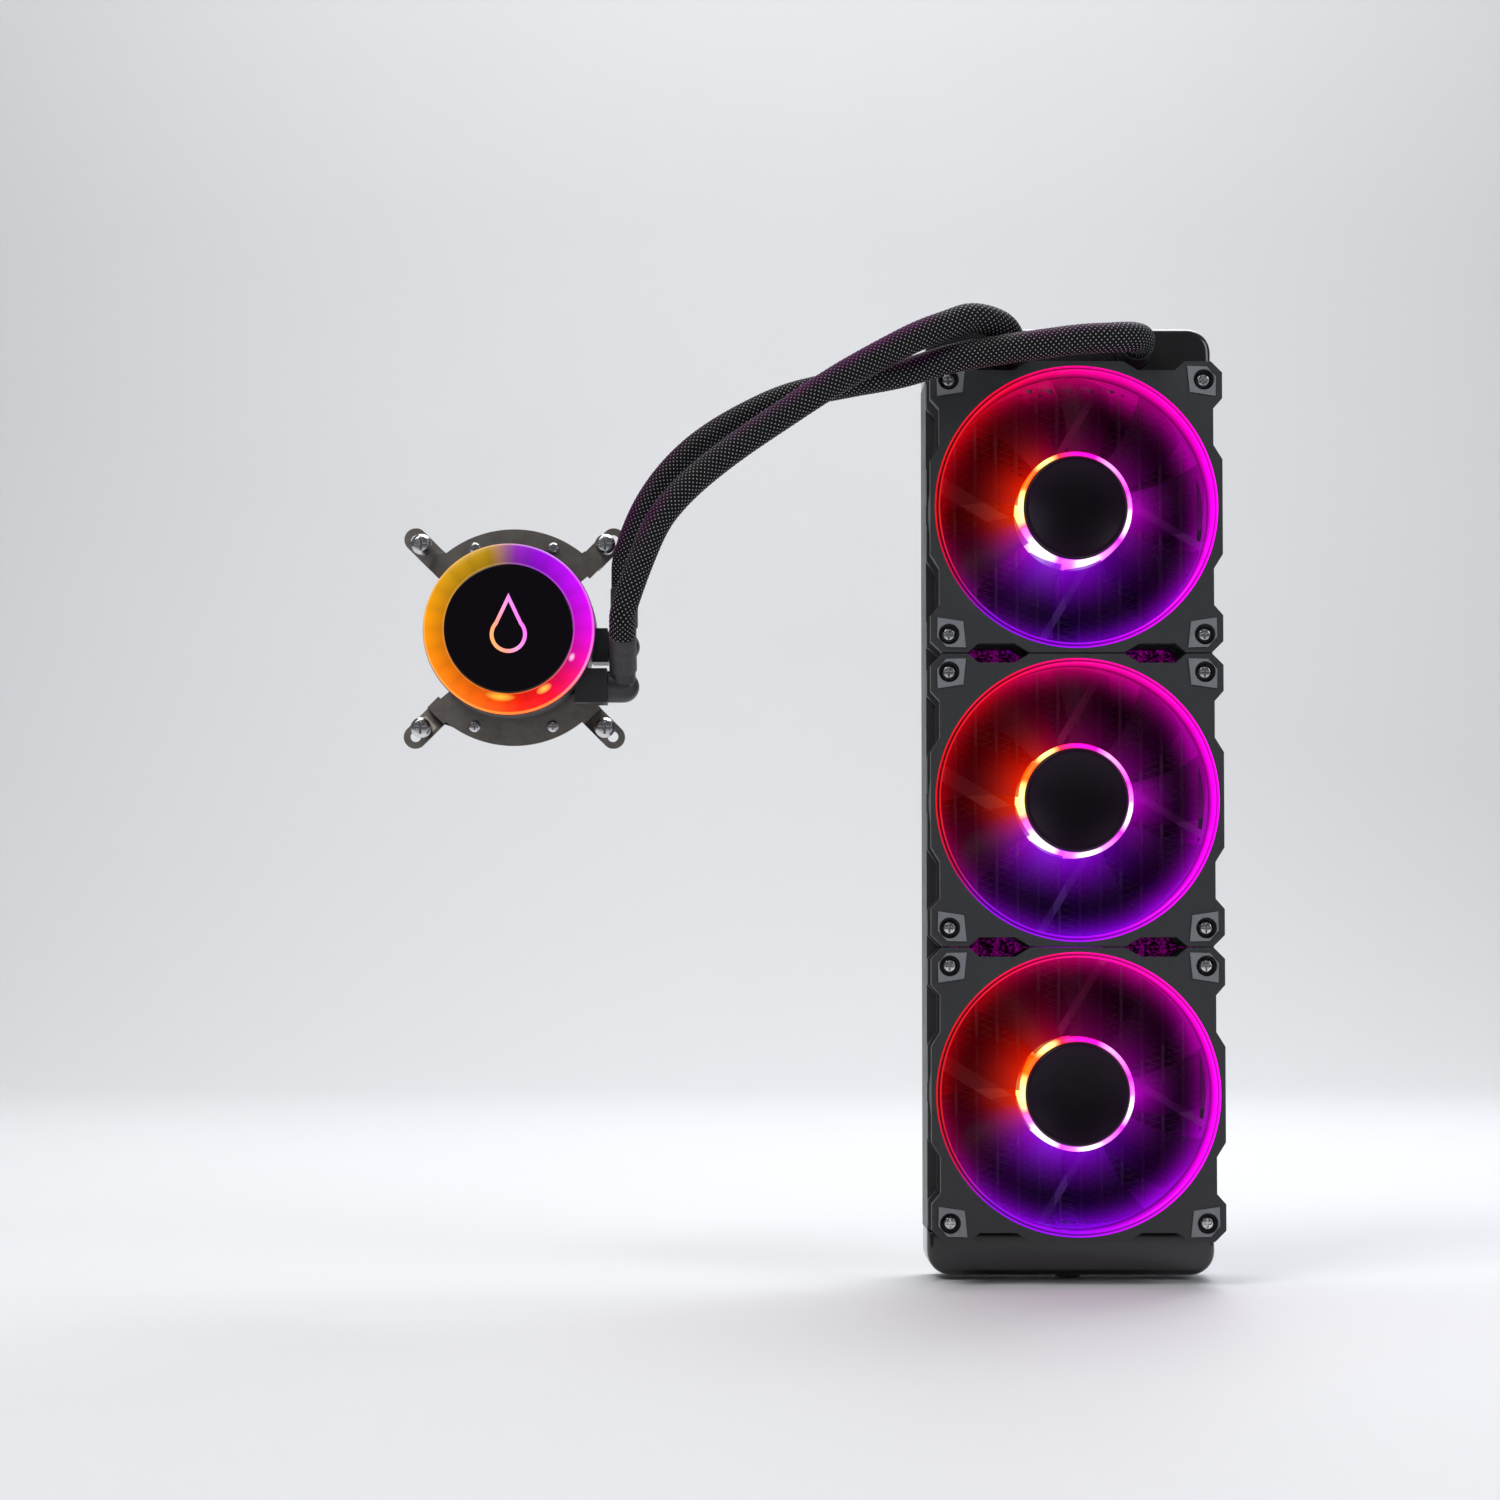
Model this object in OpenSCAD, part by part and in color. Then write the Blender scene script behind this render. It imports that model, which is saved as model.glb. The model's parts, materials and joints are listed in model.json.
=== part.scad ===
// Closed-loop liquid cooler: a three-fan radiator, two sleeved hoses and a pump head.
// The origin is the centre of the middle screw-hole square on the radiator's rear face.
// +Z runs up along the radiator, the fans face -Y and the pump head hangs on the left, at -X.

/* [Radiator] */
// Width of the radiator and of each fan
body_w = 120; // [120:1:120]
// Depth of the radiator, front to back
rad_t = 27; // [26:0.5:30]
// Height of the radiator's top edge above the origin
rad_top = 200; // [196:0.5:206]
// Depth of the radiator's bottom edge below the origin
rad_bottom = 197; // [195:0.5:204]
// Half the height of the finned core between the end tanks
core_half = 178; // [176:0.5:180]
// Spacing of the flat water tubes
tube_pitch = 8.7; // [8:0.1:9.5]
// Height of one full fold of the fin strip
fin_fold = 9; // [6:1:12]

/* [Fans] */
// Distance between fan centres
fan_pitch = 120.5; // [120.2:0.1:122]
// Depth of a fan frame
fan_t = 25; // [25:1:25]
// Distance between a fan's screw holes
hole_span = 105; // [105:1:105]
// Radius of the opening in the frame's front
ring_r = 58.2; // [57.5:0.1:58.4]
// Width of the light ring's front face
ring_w = 2.2; // [1.8:0.1:2.6]
// Number of blades on a rotor
blade_count = 9; // [7:1:11]
// Radius of a rotor at its blade tips
tip_r = 54.6; // [53:0.1:55]
// Radius of a rotor's hub
hub_r = 23.5; // [22:0.5:24]
// Tilt of the blades
blade_pitch = 28; // [22:1:32]

/* [Pump head] */
// Sideways place of the pump head's centre
pump_x = -230.8; // [-240:0.1:-225]
// Height of the pump head's centre
pump_z = 66.5; // [60:0.5:72]
// Place of the cold plate's contact face, front to back
plate_y = -43; // [-46:0.5:-40]
// Radius of the pump housing
pump_r = 34.5; // [34:0.1:36]
// Distance between the mounting screws
mount_span = 75; // [75:1:75]

/* [Hoses] */
// Radius of a sleeved hose at the radiator
hose_r = 6.25; // [5.8:0.05:6.5]
// Radius of a sleeved hose at the pump head
hose_end_r = 5.3; // [5:0.05:5.5]
// Distance of each barb from the radiator's centre line
barb_x = 27; // [24:1:30]

/* [Hidden] */
$fn = 64;

half_w = body_w / 2;
hole_at = hole_span / 2;
fan_z = [fan_pitch, 0, -fan_pitch];
fan_front = -rad_t - fan_t;
barb_z = 190;
ferrule_front = -41;
tube_count = 12;
tube_half = 1;
tube_y0 = -24;
tube_y1 = -3;
sheet_t = 1.2;
rail_in = 53.8;
tank_wall = 1.5;
ring_depth = 14;
duct_r = 56.2;
screw_r = 1.5;
pattern_hole_r = 1.6;
shaft_r = 1.5;
// Threaded end of a mounting screw, No. 6
thread_r = 1.75;
running_gap = 0.05;

// The pump head's layers, from the cold plate forward
plate_t = 3;
base_back = plate_y - plate_t;
base_front = -58;
shell_front = -80;
face_front = -84;
tab_back = -48.5;
tab_t = 1.5;
arc_back = -51.5;
port_face_x = -192;
elbow_x = -185.5;
lower_port = [elbow_x, -65, 45];
upper_port = [elbow_x, -58, 62];
// The lower elbow leans forward on a 3-4-5 slope, so its hose passes in front of the upper one
lower_lean = atan2(3, 4);
elbow_reach = 24;

// Route of the hose from the left barb down to the lower elbow
hose_front_route = [
  [-27, -41, 190], [-27, -46, 190], [-28, -53, 191], [-32, -61, 193], [-39, -67, 194.5],
  [-46, -70, 194], [-54, -72, 191], [-64, -74, 187], [-74, -75.5, 182], [-90, -77.5, 173],
  [-103, -79, 165], [-122, -81, 152], [-139, -83, 140], [-154, -84.5, 128], [-165, -86, 117],
  [-172, -87, 107], [-178, -88, 93], [-182, -88, 82], [-185, -85.5, 73],
  [-185.5, -82.4, 68.2], [-185.5, -79.4, 64.2]
];
// Route of the hose from the right barb down to the upper elbow
hose_rear_route = [
  [27, -41, 190], [27, -46, 190], [25.5, -54, 189.5], [20, -61.5, 188.5], [11, -66.5, 187],
  [0, -68.5, 186], [-15, -69, 184], [-33, -68.5, 181.5], [-53, -67.5, 178], [-73, -65, 172.5],
  [-94, -62.5, 169], [-118, -61, 164], [-138, -61, 155], [-154, -61, 145], [-166, -60.5, 134],
  [-175, -60, 122], [-181, -59, 110], [-185, -58, 98], [-185.5, -58, 91], [-185.5, -58, 86]
];
hose_sides = 10;

function unit(v) = v / norm(v);
function heading(p, i) = unit(p[min(i + 1, len(p) - 1)] - p[max(i - 1, 0)]);
function across(p, i) = i == 0
  ? unit(cross(heading(p, 0), [0, 0, 1]))
  : let (t = heading(p, i), s = across(p, i - 1)) unit(s - (s * t) * t);
function ring_points(p, i, r, sides) =
  let (t = heading(p, i), s = across(p, i), b = cross(t, s))
  [for (k = [0:sides - 1]) p[i] + r * (cos(360 * k / sides) * s + sin(360 * k / sides) * b)];
function hose_r_at(t) = hose_r + (hose_end_r - hose_r) * t;

// A closed tube swept along a route, narrowing evenly from one end to the other
module hose_tube(p, sides) {
  n = len(p);
  points = [for (i = [0:n - 1]) each ring_points(p, i, hose_r_at(i / (n - 1)), sides)];
  walls = [for (i = [0:n - 2]) for (k = [0:sides - 1])
    [i * sides + k, i * sides + (k + 1) % sides,
     (i + 1) * sides + (k + 1) % sides, (i + 1) * sides + k]];
  first = [for (k = [0:sides - 1]) sides - 1 - k];
  last = [for (k = [0:sides - 1]) (n - 1) * sides + k];
  polyhedron(points, concat(walls, [first, last]));
}

// A plate drawn in X and Z that fills the depth from y0 back to y1
module plate(y0, y1) translate([0, y1, 0]) rotate([90, 0, 0]) linear_extrude(y1 - y0) children();

// A round bar along Y from y0 back to y1
module bar(y0, y1, r) translate([0, y1, 0]) rotate([90, 0, 0]) cylinder(h = y1 - y0, r = r);

// A body turned about Y: its profile is radius, then distance in front of the place y
module turned(y) translate([0, y, 0]) rotate([90, 0, 0]) rotate_extrude($fn = 96) children();

module at_pump() translate([pump_x, 0, pump_z]) children();
module at_corners(half) for (x = [-half, half], z = [-half, half]) translate([x, 0, z]) children();

// A pan head with a cross recess and its threaded shank, facing -Y from the seat at y
module cross_screw(y, head_r, head_h, shank_r, shank_l) {
  difference() {
    union() {
      turned(y) polygon([
        [0, 0], [head_r, 0], [head_r, head_h * 0.4], [head_r * 0.72, head_h * 0.9],
        [head_r * 0.3, head_h], [0, head_h]
      ]);
      bar(y - 0.01, y + shank_l, shank_r);
    }
    for (turn = [0, 90])
      rotate([0, turn, 0])
        translate([0, y - head_h, 0])
          cube([head_r * 1.2, head_h * 1.3, head_r * 0.24], center = true);
  }
}

// ---- Radiator ----

// End tank seen from the front, with its outer corners rounded; z runs from the header outward
module tank_outline(h, inset) {
  r = min(10, h / 2 - 0.1) - inset;
  w = half_w - inset;
  top = h - inset;
  union() {
    translate([-w, 0]) square([2 * w, top - r]);
    translate([-w + r, 0]) square([2 * (w - r), top]);
    for (s = [-1, 1]) translate([s * (w - r), top - r]) circle(r);
  }
}

module tank_shell(h) {
  difference() {
    union() {
      plate(-rad_t + 1, -1) tank_outline(h, 0);
      plate(-rad_t, 0) tank_outline(h, 1);
    }
    translate([0, 0, -1])
      plate(-rad_t + tank_wall, -tank_wall) tank_outline(h + 1, tank_wall);
  }
}

module top_tank() color([0.05, 0.05, 0.055]) {
  difference() {
    union() {
      translate([0, 0, core_half]) tank_shell(rad_top - core_half);
      for (x = [-barb_x, barb_x])
        translate([x, 0, barb_z]) bar(-rad_t - 2, -rad_t + 0.5, 7.6);
    }
    for (x = [-barb_x, barb_x])
      translate([x, 0, barb_z]) bar(-rad_t - 3, -rad_t + 3, 4.75);
  }
}

module tank_divider() color([0.6, 0.6, 0.62])
  translate([-0.6, -rad_t + tank_wall, core_half])
    cube([sheet_t, rad_t - 2 * tank_wall, rad_top - core_half - tank_wall]);

module bottom_tank() color([0.05, 0.05, 0.055])
  difference() {
    translate([0, 0, -core_half]) mirror([0, 0, 1]) tank_shell(rad_bottom - core_half);
    translate([0, -rad_t / 2, -rad_bottom - 1]) cylinder(h = 4, r = 3.55);
  }

module header_plates() color([0.1, 0.1, 0.11])
  for (s = [-1, 1])
    difference() {
      translate([-58.7, -rad_t + sheet_t + 0.05, s * (core_half - 1.05) - 0.95])
        cube([117.4, rad_t - 2 * sheet_t - 0.1, 1.9]);
      for (i = [0:tube_count - 1])
        translate([(i - (tube_count - 1) / 2) * tube_pitch, 0, s * core_half - 3])
          linear_extrude(6) tube_outline(tube_half);
    }

module tube_outline(r) {
  translate([-r, tube_y0 + tube_half]) square([2 * r, tube_y1 - tube_y0 - 2 * tube_half]);
  for (y = [tube_y0 + tube_half, tube_y1 - tube_half]) translate([0, y]) circle(r, $fn = 24);
}

module water_tubes() color([0.16, 0.16, 0.17])
  for (i = [0:tube_count - 1])
    translate([(i - (tube_count - 1) / 2) * tube_pitch, 0, -core_half - 1])
      linear_extrude(2 * core_half + 2)
        difference() {
          tube_outline(tube_half);
          tube_outline(tube_half - 0.3);
        }

// One strip folded to and fro between two tubes, from x0 to x1
module fin_strip(x0, x1) {
  skin = 0.6;
  half_h = core_half - 3;
  folds = floor(2 * half_h / (fin_fold / 2));
  step = 2 * half_h / folds;
  up = [for (i = [0:folds]) [i % 2 == 0 ? x0 : x1 - skin, -half_h + i * step]];
  down = [for (i = [folds:-1:0]) [i % 2 == 0 ? x0 + skin : x1, -half_h + i * step]];
  plate(tube_y0 + 0.3, tube_y1 - 0.3) polygon(concat(up, down));
}

module cooling_fins() color([0.12, 0.12, 0.13]) {
  side = (tube_count - 1) / 2 * tube_pitch + tube_half;
  for (i = [0:tube_count - 2]) {
    x = (i - (tube_count - 1) / 2) * tube_pitch;
    fin_strip(x + tube_half, x + tube_pitch - tube_half);
  }
  fin_strip(side, half_w - sheet_t);
  fin_strip(-half_w + sheet_t, -side);
}

// Steel channel down one side, with ears round the screw holes on both flanges
module side_rail() {
  difference() {
    union() {
      translate([half_w - sheet_t, -rad_t, -core_half]) cube([sheet_t, rad_t, 2 * core_half]);
      for (y = [-rad_t, -sheet_t])
        plate(y, y + sheet_t) {
          translate([rail_in, -core_half]) square([half_w - rail_in, 2 * core_half]);
          intersection() {
            union() for (z = fan_z, s = [-1, 1]) translate([hole_at, z + s * hole_at]) circle(4.2);
            translate([0, -core_half]) square([half_w, 2 * core_half]);
          }
        }
    }
    for (z = fan_z, s = [-1, 1])
      translate([hole_at, 0, z + s * hole_at]) {
        bar(-rad_t - 1, -rad_t + sheet_t + 1, screw_r);
        bar(-sheet_t - 1, 1, pattern_hole_r);
      }
  }
}

module side_rails() color([0.07, 0.07, 0.075]) {
  side_rail();
  mirror([1, 0, 0]) side_rail();
}

module fill_plug() color([0.1, 0.1, 0.11])
  translate([0, -rad_t / 2, -rad_bottom])
    difference() {
      union() {
        translate([0, 0, -1.5]) cylinder(h = 1.5, r = 5.5);
        cylinder(h = 5, r = 3.5);
      }
      translate([0, 0, -2]) cylinder(h = 3.5, r = 2.3, $fn = 6);
    }

module hose_barbs() color([0.55, 0.55, 0.57])
  for (x = [-barb_x, barb_x])
    translate([x, 0, barb_z])
      turned(-rad_t + 3) polygon([
        [3, 0], [4.75, 0], [4.75, 7], [4.2, 7], [4.75, 9], [4.2, 9], [4.75, 11], [4.2, 11],
        [4.75, 13], [4.2, 13], [4.2, 16], [3, 16]
      ]);

module hose_ferrules() color([0.09, 0.09, 0.095])
  for (x = [-barb_x, barb_x])
    translate([x, 0, barb_z])
      turned(-rad_t - 2) polygon([
        [4.8, 0], [6.6, 0], [7, 0.5], [7, -ferrule_front - rad_t - 3], [6.6, -ferrule_front - rad_t - 2],
        [4.8, -ferrule_front - rad_t - 2]
      ]);

module hose_front() color([0.06, 0.06, 0.065]) hose_tube(hose_front_route, hose_sides);
module hose_rear() color([0.06, 0.06, 0.065]) hose_tube(hose_rear_route, hose_sides);

// ---- Fans ----

function turn_2d(p, a) = [p[0] * cos(a) - p[1] * sin(a), p[0] * sin(a) + p[1] * cos(a)];

// Outline of the frame's flanges: clipped corners and two shallow notches on each side
module flange_outline() {
  quarter = [
    [half_w, 19.5], [half_w - 3.7, 25.5], [half_w - 3.7, 40.5], [half_w, 44.7],
    [half_w, half_w - 4.6], [half_w - 4.6, half_w], [44.7, half_w], [40.5, half_w - 3.7],
    [25.5, half_w - 3.7], [19.5, half_w]
  ];
  polygon([for (q = [0:3]) for (p = quarter) turn_2d(p, 90 * q)]);
}

// Outline of the rubber pad round one screw, at the corner where x and z are positive
module pad_outline()
  polygon([[-6.9, 5.5], [1.2, 5.3], [4.9, 1.1], [4.7, -6.8], [-5.8, -5.2]]);

module mirrored_pads(y0, y1)
  for (mx = [0, 1], mz = [0, 1])
    mirror([mx, 0, 0]) mirror([0, 0, mz])
      translate([hole_at, 0, hole_at]) plate(y0, y1) pad_outline();

strut_angles = [58.7, 148.7, 238.7, 328.7];
strut_off = 17.1;
mount_r = 22;
strut_front = -30;
bearing_front = -43;

module strut_bars()
  for (a = strut_angles) {
    w = a == 148.7 ? 6.3 : 3;
    rotate(a) translate([12, strut_off - w / 2]) square([43, w]);
  }

module fan_frame(z) color([0.1, 0.1, 0.11])
  translate([0, 0, z]) {
    difference() {
      union() {
        plate(fan_front, fan_front + 5) flange_outline();
        plate(-rad_t - 5, -rad_t) flange_outline();
        plate(fan_front + 5, -rad_t - 5) {
          circle(59.6, $fn = 128);
          for (sx = [-1, 1], sz = [-1, 1]) {
            translate([sx * hole_at, sz * hole_at]) circle(5.5);
            rotate(atan2(sz, sx)) translate([50, -1.5]) square([24, 3]);
          }
        }
      }
      bar(fan_front - 1, fan_front + ring_depth, ring_r, $fn = 128);
      bar(fan_front + ring_depth - 1, -rad_t + 1, duct_r, $fn = 128);
      at_corners(hole_at) {
        bar(fan_front - 1, -rad_t + 1, 2.2);
        bar(fan_front - 1, fan_front + 3, 4.3);
      }
      mirrored_pads(fan_front - 1, fan_front + 1);
      // Notch that lets the lead out at the left
      translate([-half_w - 1, -rad_t - 4, -4]) cube([4, 5, 8]);
    }
    difference() {
      union() {
        plate(strut_front, -rad_t) {
          circle(mount_r);
          strut_bars();
        }
        bar(bearing_front, strut_front + 1, 5);
      }
      bar(bearing_front - 1, -rad_t - 1.2, 3.5);
    }
  }

module light_ring(z) color([0.85, 0.1, 0.75])
  translate([0, 0, z])
    turned(fan_front + ring_depth) polygon([
      [ring_r - ring_w, 0], [ring_r, 0], [ring_r, ring_depth],
      [ring_r - 0.7, ring_depth], [ring_r - 0.8, ring_depth - 0.4],
      [ring_r - 1.3, ring_depth - 0.4], [ring_r - 1.4, ring_depth],
      [ring_r - ring_w + 0.5, ring_depth], [ring_r - ring_w, ring_depth - 0.8]
    ]);

module corner_pads(z) color([0.33, 0.34, 0.36])
  translate([0, 0, z])
    difference() {
      mirrored_pads(fan_front - 0.5, fan_front + 1);
      at_corners(hole_at) bar(fan_front - 2, fan_front + 2, 4.3);
    }

module fan_stator(z) color([0.45, 0.28, 0.16])
  translate([0, 0, z]) {
    difference() {
      union() {
        bar(-42, -33.4, 8);
        plate(-41, -35) {
          for (a = [0:60:300])
            rotate(a) {
              translate([6, -1.5]) square([11, 3]);
              intersection() {
                difference() {
                  circle(17.9);
                  circle(16.2);
                }
                translate([14, -6]) square([5, 12]);
              }
            }
        }
        for (a = [0:60:300])
          rotate([0, a, 0]) translate([9, -42, -3.2]) cube([5.6, 8, 6.4]);
        bar(-33.4, -32, 20);
      }
      bar(-44, -30, 5.05);
    }
  }

module fan_bearing(z) color([0.75, 0.62, 0.3])
  translate([0, 0, z])
    difference() {
      bar(bearing_front, -30, 3.5);
      bar(bearing_front - 1, -29, shaft_r + running_gap);
    }

module blade() {
  camber_r = 45;
  skin = 1.4;
  intersection() {
    translate([0, -40, 0]) rotate([blade_pitch, 0, 0])
      intersection() {
        translate([hub_r - 2, camber_r - 1.5, 0]) rotate([0, 90, 0])
          difference() {
            cylinder(h = 36, r = camber_r, $fn = 96);
            translate([0, 0, -1]) cylinder(h = 38, r = camber_r - skin, $fn = 96);
          }
        plate(-8, 8) polygon([[hub_r - 2, -9], [58, -16.5], [58, 16.5], [hub_r - 2, 9]]);
      }
    turned(-31.8) polygon([
      [hub_r - 0.8, 0], [tip_r, 0], [tip_r, 16], [hub_r - 0.8, 16]
    ]);
  }
}

module fan_rotor(z) color([0.6, 0.3, 0.6])
  translate([0, 0, z]) {
    turned(-31.5) polygon([
      [hub_r - 1.6, 0], [hub_r, 0], [hub_r, 15.5], [hub_r - 1, 17.5], [0, 17.5], [0, 15.7],
      [hub_r - 1.6, 15.7]
    ]);
    for (i = [0:blade_count - 1]) rotate([0, i * 360 / blade_count, 0]) blade();
  }

module magnet_yoke(z) color([0.5, 0.5, 0.53])
  translate([0, 0, z]) {
    turned(-47.2) mirror([0, 1]) polygon([
      [0, 0], [21.5, 0], [21.5, 13.2], [20.4, 13.2], [20.4, 11.7], [18.7, 11.7], [18.7, 1.7],
      [20.4, 1.7], [20.4, 1], [4, 1], [4, 3.4], [0, 3.4]
    ]);
    bar(-46, -31, shaft_r);
  }

module hub_cap(z) color([0.06, 0.05, 0.06])
  translate([0, 0, z])
    turned(-49) polygon([[0, 0], [20.9, 0], [20.9, 1.1], [20.4, 1.6], [0, 1.6]]);

module fan_screws() color([0.75, 0.75, 0.76])
  for (z = fan_z)
    translate([0, 0, z]) at_corners(hole_at) cross_screw(fan_front + 3, 3.1, 2.2, screw_r, 24.4);

// ---- Pump head ----

// The cooler's working face, with fine upright fins in the water chamber behind it
module cold_plate() color([0.8, 0.45, 0.25])
  at_pump() {
    difference() {
      bar(base_back, plate_y, 28);
      for (a = [22.5:45:337.5])
        rotate([0, a, 0]) translate([24.6, 0, 0]) bar(base_back - 1, plate_y + 1, 1.25);
    }
    for (i = [-9:9])
      translate([i * 1.5 - 0.35, base_back - 2.6, -14]) cube([0.7, 2.6, 28]);
  }

module cold_plate_screws() color([0.7, 0.7, 0.72])
  at_pump()
    for (a = [22.5:45:337.5])
      rotate([0, a, 0]) translate([24.6, 0, 0])
        difference() {
          bar(base_back - 5, plate_y - 0.4, 1.25);
          translate([0, plate_y - 0.4, 0]) cube([1.6, 1.2, 0.5], center = true);
        }

module gasket() color([0.08, 0.08, 0.08])
  at_pump() turned(base_back) polygon([[20.9, 0], [22.7, 0], [22.7, 0.9], [20.9, 0.9]]);

module boss_ribs(y0, y1, r)
  for (sx = [-1, 1], sz = [-1, 1]) {
    a = atan2(36.5 * sz, 16 * sx);
    plate(y0, y1) {
      translate([16 * sx, 36.5 * sz]) circle(r);
      rotate(a) translate([30, -r + 0.3]) square([norm([16, 36.5]) - 30, 2 * r - 0.6]);
    }
  }

module pump_base() color([0.07, 0.07, 0.075])
  at_pump()
    difference() {
      union() {
        bar(base_front, base_back, 33);
        boss_ribs(arc_back, base_back, 3.6);
      }
      bar(base_back - 2.9, base_back + 1, 20.2);
      turned(base_back) polygon([[20.9, -0.5], [22.7, -0.5], [22.7, 0.9], [20.9, 0.9]]);
      bar(base_front - 1, -50.8, 16);
      bar(-51.5, base_back, 4);
      for (a = [22.5:45:337.5])
        rotate([0, a, 0]) translate([24.6, 0, 0]) bar(base_back - 5, base_back + 1, 1.25);
      for (sx = [-1, 1], sz = [-1, 1])
        translate([16 * sx, 0, 36.5 * sz]) bar(arc_back - 1, base_back - 0.8, 1.2);
    }

module pump_housing() color([0.06, 0.06, 0.065])
  at_pump()
    difference() {
      bar(shell_front, base_front, pump_r);
      difference() {
        bar(shell_front - 1, base_front - 1.5, pump_r - 2);
        bar(-72, base_front, 10.3);
      }
      bar(-71, base_front + 1, 9.3);
      for (p = [lower_port, upper_port])
        translate([20, p[1], p[2] - pump_z]) rotate([0, 90, 0]) cylinder(h = 20, r = 3.5);
    }

module port_block() color([0.09, 0.09, 0.1])
  difference() {
    union()
      for (p = [lower_port, upper_port])
        translate([-205, p[1] - 7, p[2] - 6.9]) cube([port_face_x + 205, 14, 13.8]);
    at_pump() bar(-90, -50, pump_r + 0.03);
    for (p = [lower_port, upper_port]) {
      translate([-198, p[1], p[2]]) rotate([0, 90, 0]) cylinder(h = 10, r = 5);
      translate([-210, p[1], p[2]]) rotate([0, 90, 0]) cylinder(h = 14, r = 3.5);
    }
  }

// An elbow whose spigot turns in the port block, with a ribbed tail for the hose
module elbow(port, lean) color([0.1, 0.1, 0.11])
  translate(port) {
    rotate([0, 90, 0]) translate([0, 0, -10.4]) cylinder(h = 5, r = 5 - running_gap);
    rotate([0, 90, 0]) translate([0, 0, -6.3]) cylinder(h = 6.3, r = 6.4);
    sphere(6.4);
    rotate([lean, 0, 0]) {
      cylinder(h = 7.5, r = 5);
      rotate_extrude() polygon([
        [0, 7], [4, 7], [4, 11], [4.3, 11], [4, 13], [4, 15], [4.3, 15], [4, 17], [4, 22], [0, 22]
      ]);
    }
  }

module hose_collar(port, lean) color([0.12, 0.12, 0.13])
  translate(port) rotate([lean, 0, 0])
    rotate_extrude() polygon([
      [4.35, 7.6], [5.3, 7.6], [5.6, 8.2], [5.6, elbow_reach - 0.5], [5.3, elbow_reach],
      [0, elbow_reach], [0, 22], [4.35, 22]
    ]);

module pump_stator() color([0.5, 0.3, 0.18])
  at_pump() {
    plate(-68, -62) {
      difference() {
        circle(20);
        circle(17.4);
      }
      for (a = [0:60:300])
        rotate(a)
          difference() {
            translate([9, -1.8]) square([10, 3.6]);
            circle(10.5);
          }
    }
    for (a = [0:60:300])
      rotate([0, a, 0]) translate([11.6, -69.5, -3.4]) cube([4.6, 9, 6.8]);
  }

module impeller() color([0.85, 0.85, 0.82])
  at_pump()
    difference() {
      union() {
        bar(-69, -57, 8.4);
        bar(-57.2, -56, 14);
        bar(-57, -52, 3);
        for (a = [0:60:300])
          rotate([0, a, 0]) translate([2, -56.2, 0.6]) cube([11.4, 4, 1.2]);
      }
      bar(-71, -50, 1 + running_gap);
    }

module pump_axle() color([0.7, 0.7, 0.72]) at_pump() bar(-71, -51.2, 1);

module control_board() color([0.05, 0.16, 0.1])
  at_pump() {
    difference() {
      bar(-74.4, -73, 31);
      bar(-75, -72, 8);
    }
    for (a = [0:30:330])
      rotate([0, a, 0]) translate([28.2, -76, -1.25]) cube([2.5, 1.6, 2.5]);
    translate([9, -75.6, -4]) cube([8, 1.3, 8]);
    translate([-18, -75.4, -3]) cube([5, 1.1, 6]);
  }

module pump_light_ring() color([0.95, 0.5, 0.1])
  at_pump()
    turned(shell_front + 3.5) polygon([
      [25.9, 0], [32.4, 0], [32.4, 3.5], [34.2, 3.5], [34.2, 6], [33.6, 6.9], [32.2, 7.5], [27, 7.2],
      [25.9, 6.8]
    ]);

module face_disc() color([0.03, 0.02, 0.03])
  at_pump() turned(-80.5) polygon([[0, 0], [25.85, 0], [25.85, 2.8], [25.3, 3.2], [0, 3.2]]);

// Outline of a water drop with its point up
module drop_shape(r, tip) {
  lean = asin(r / tip);
  foot = 0.96 * r;
  circle(r);
  polygon([
    [foot * cos(lean), foot * sin(lean)], [0, tip], [-foot * cos(lean), foot * sin(lean)], [0, 0]
  ]);
}

module drop_outline()
  translate([0, -2.4])
    difference() {
      drop_shape(7.4, 16.5);
      drop_shape(5.9, 13.2);
    }

module drop_emblem() color([1, 0.6, 0.9])
  at_pump() plate(face_front, face_front + 0.3) drop_outline();

// One half of the mounting bracket: an arc plate with two stepped, slotted tabs
module bracket_half() {
  difference() {
    union() {
      plate(arc_back - tab_t, arc_back) {
        intersection() {
          difference() {
            circle(44.5);
            circle(33.2);
          }
          polygon([[0, 0], [-70, -58.7], [-70, -80], [70, -80], [70, -58.7]]);
        }
        for (a = [225, 315]) rotate(a) translate([39, -4.75]) square([6.5, 9.5]);
      }
      for (a = [225, 315])
        rotate([0, -a, 0]) {
          translate([44, arc_back - tab_t, -4.75]) cube([1.5, tab_back - arc_back + tab_t, 9.5]);
          plate(tab_back - tab_t, tab_back) {
            translate([44, -4.75]) square([13.5, 9.5]);
            translate([57.5, 0]) circle(4.75);
          }
        }
    }
    for (a = [225, 315])
      rotate([0, -a, 0]) {
        translate([mount_span / 2 * sqrt(2), 0, 0]) bar(-60, -40, 2.2);
        translate([mount_span / 2 * sqrt(2) + 4.2, 0, 0]) bar(-60, -40, 2.2);
        translate([mount_span / 2 * sqrt(2), -60, -1.5]) cube([4.2, 20, 3]);
      }
    for (sx = [-1, 1]) translate([16 * sx, 0, -36.5]) bar(-60, -40, 1.4);
  }
}

module lower_bracket() color([0.33, 0.33, 0.34]) at_pump() bracket_half();
module upper_bracket() color([0.33, 0.33, 0.34]) at_pump() mirror([0, 0, 1]) bracket_half();

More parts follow.
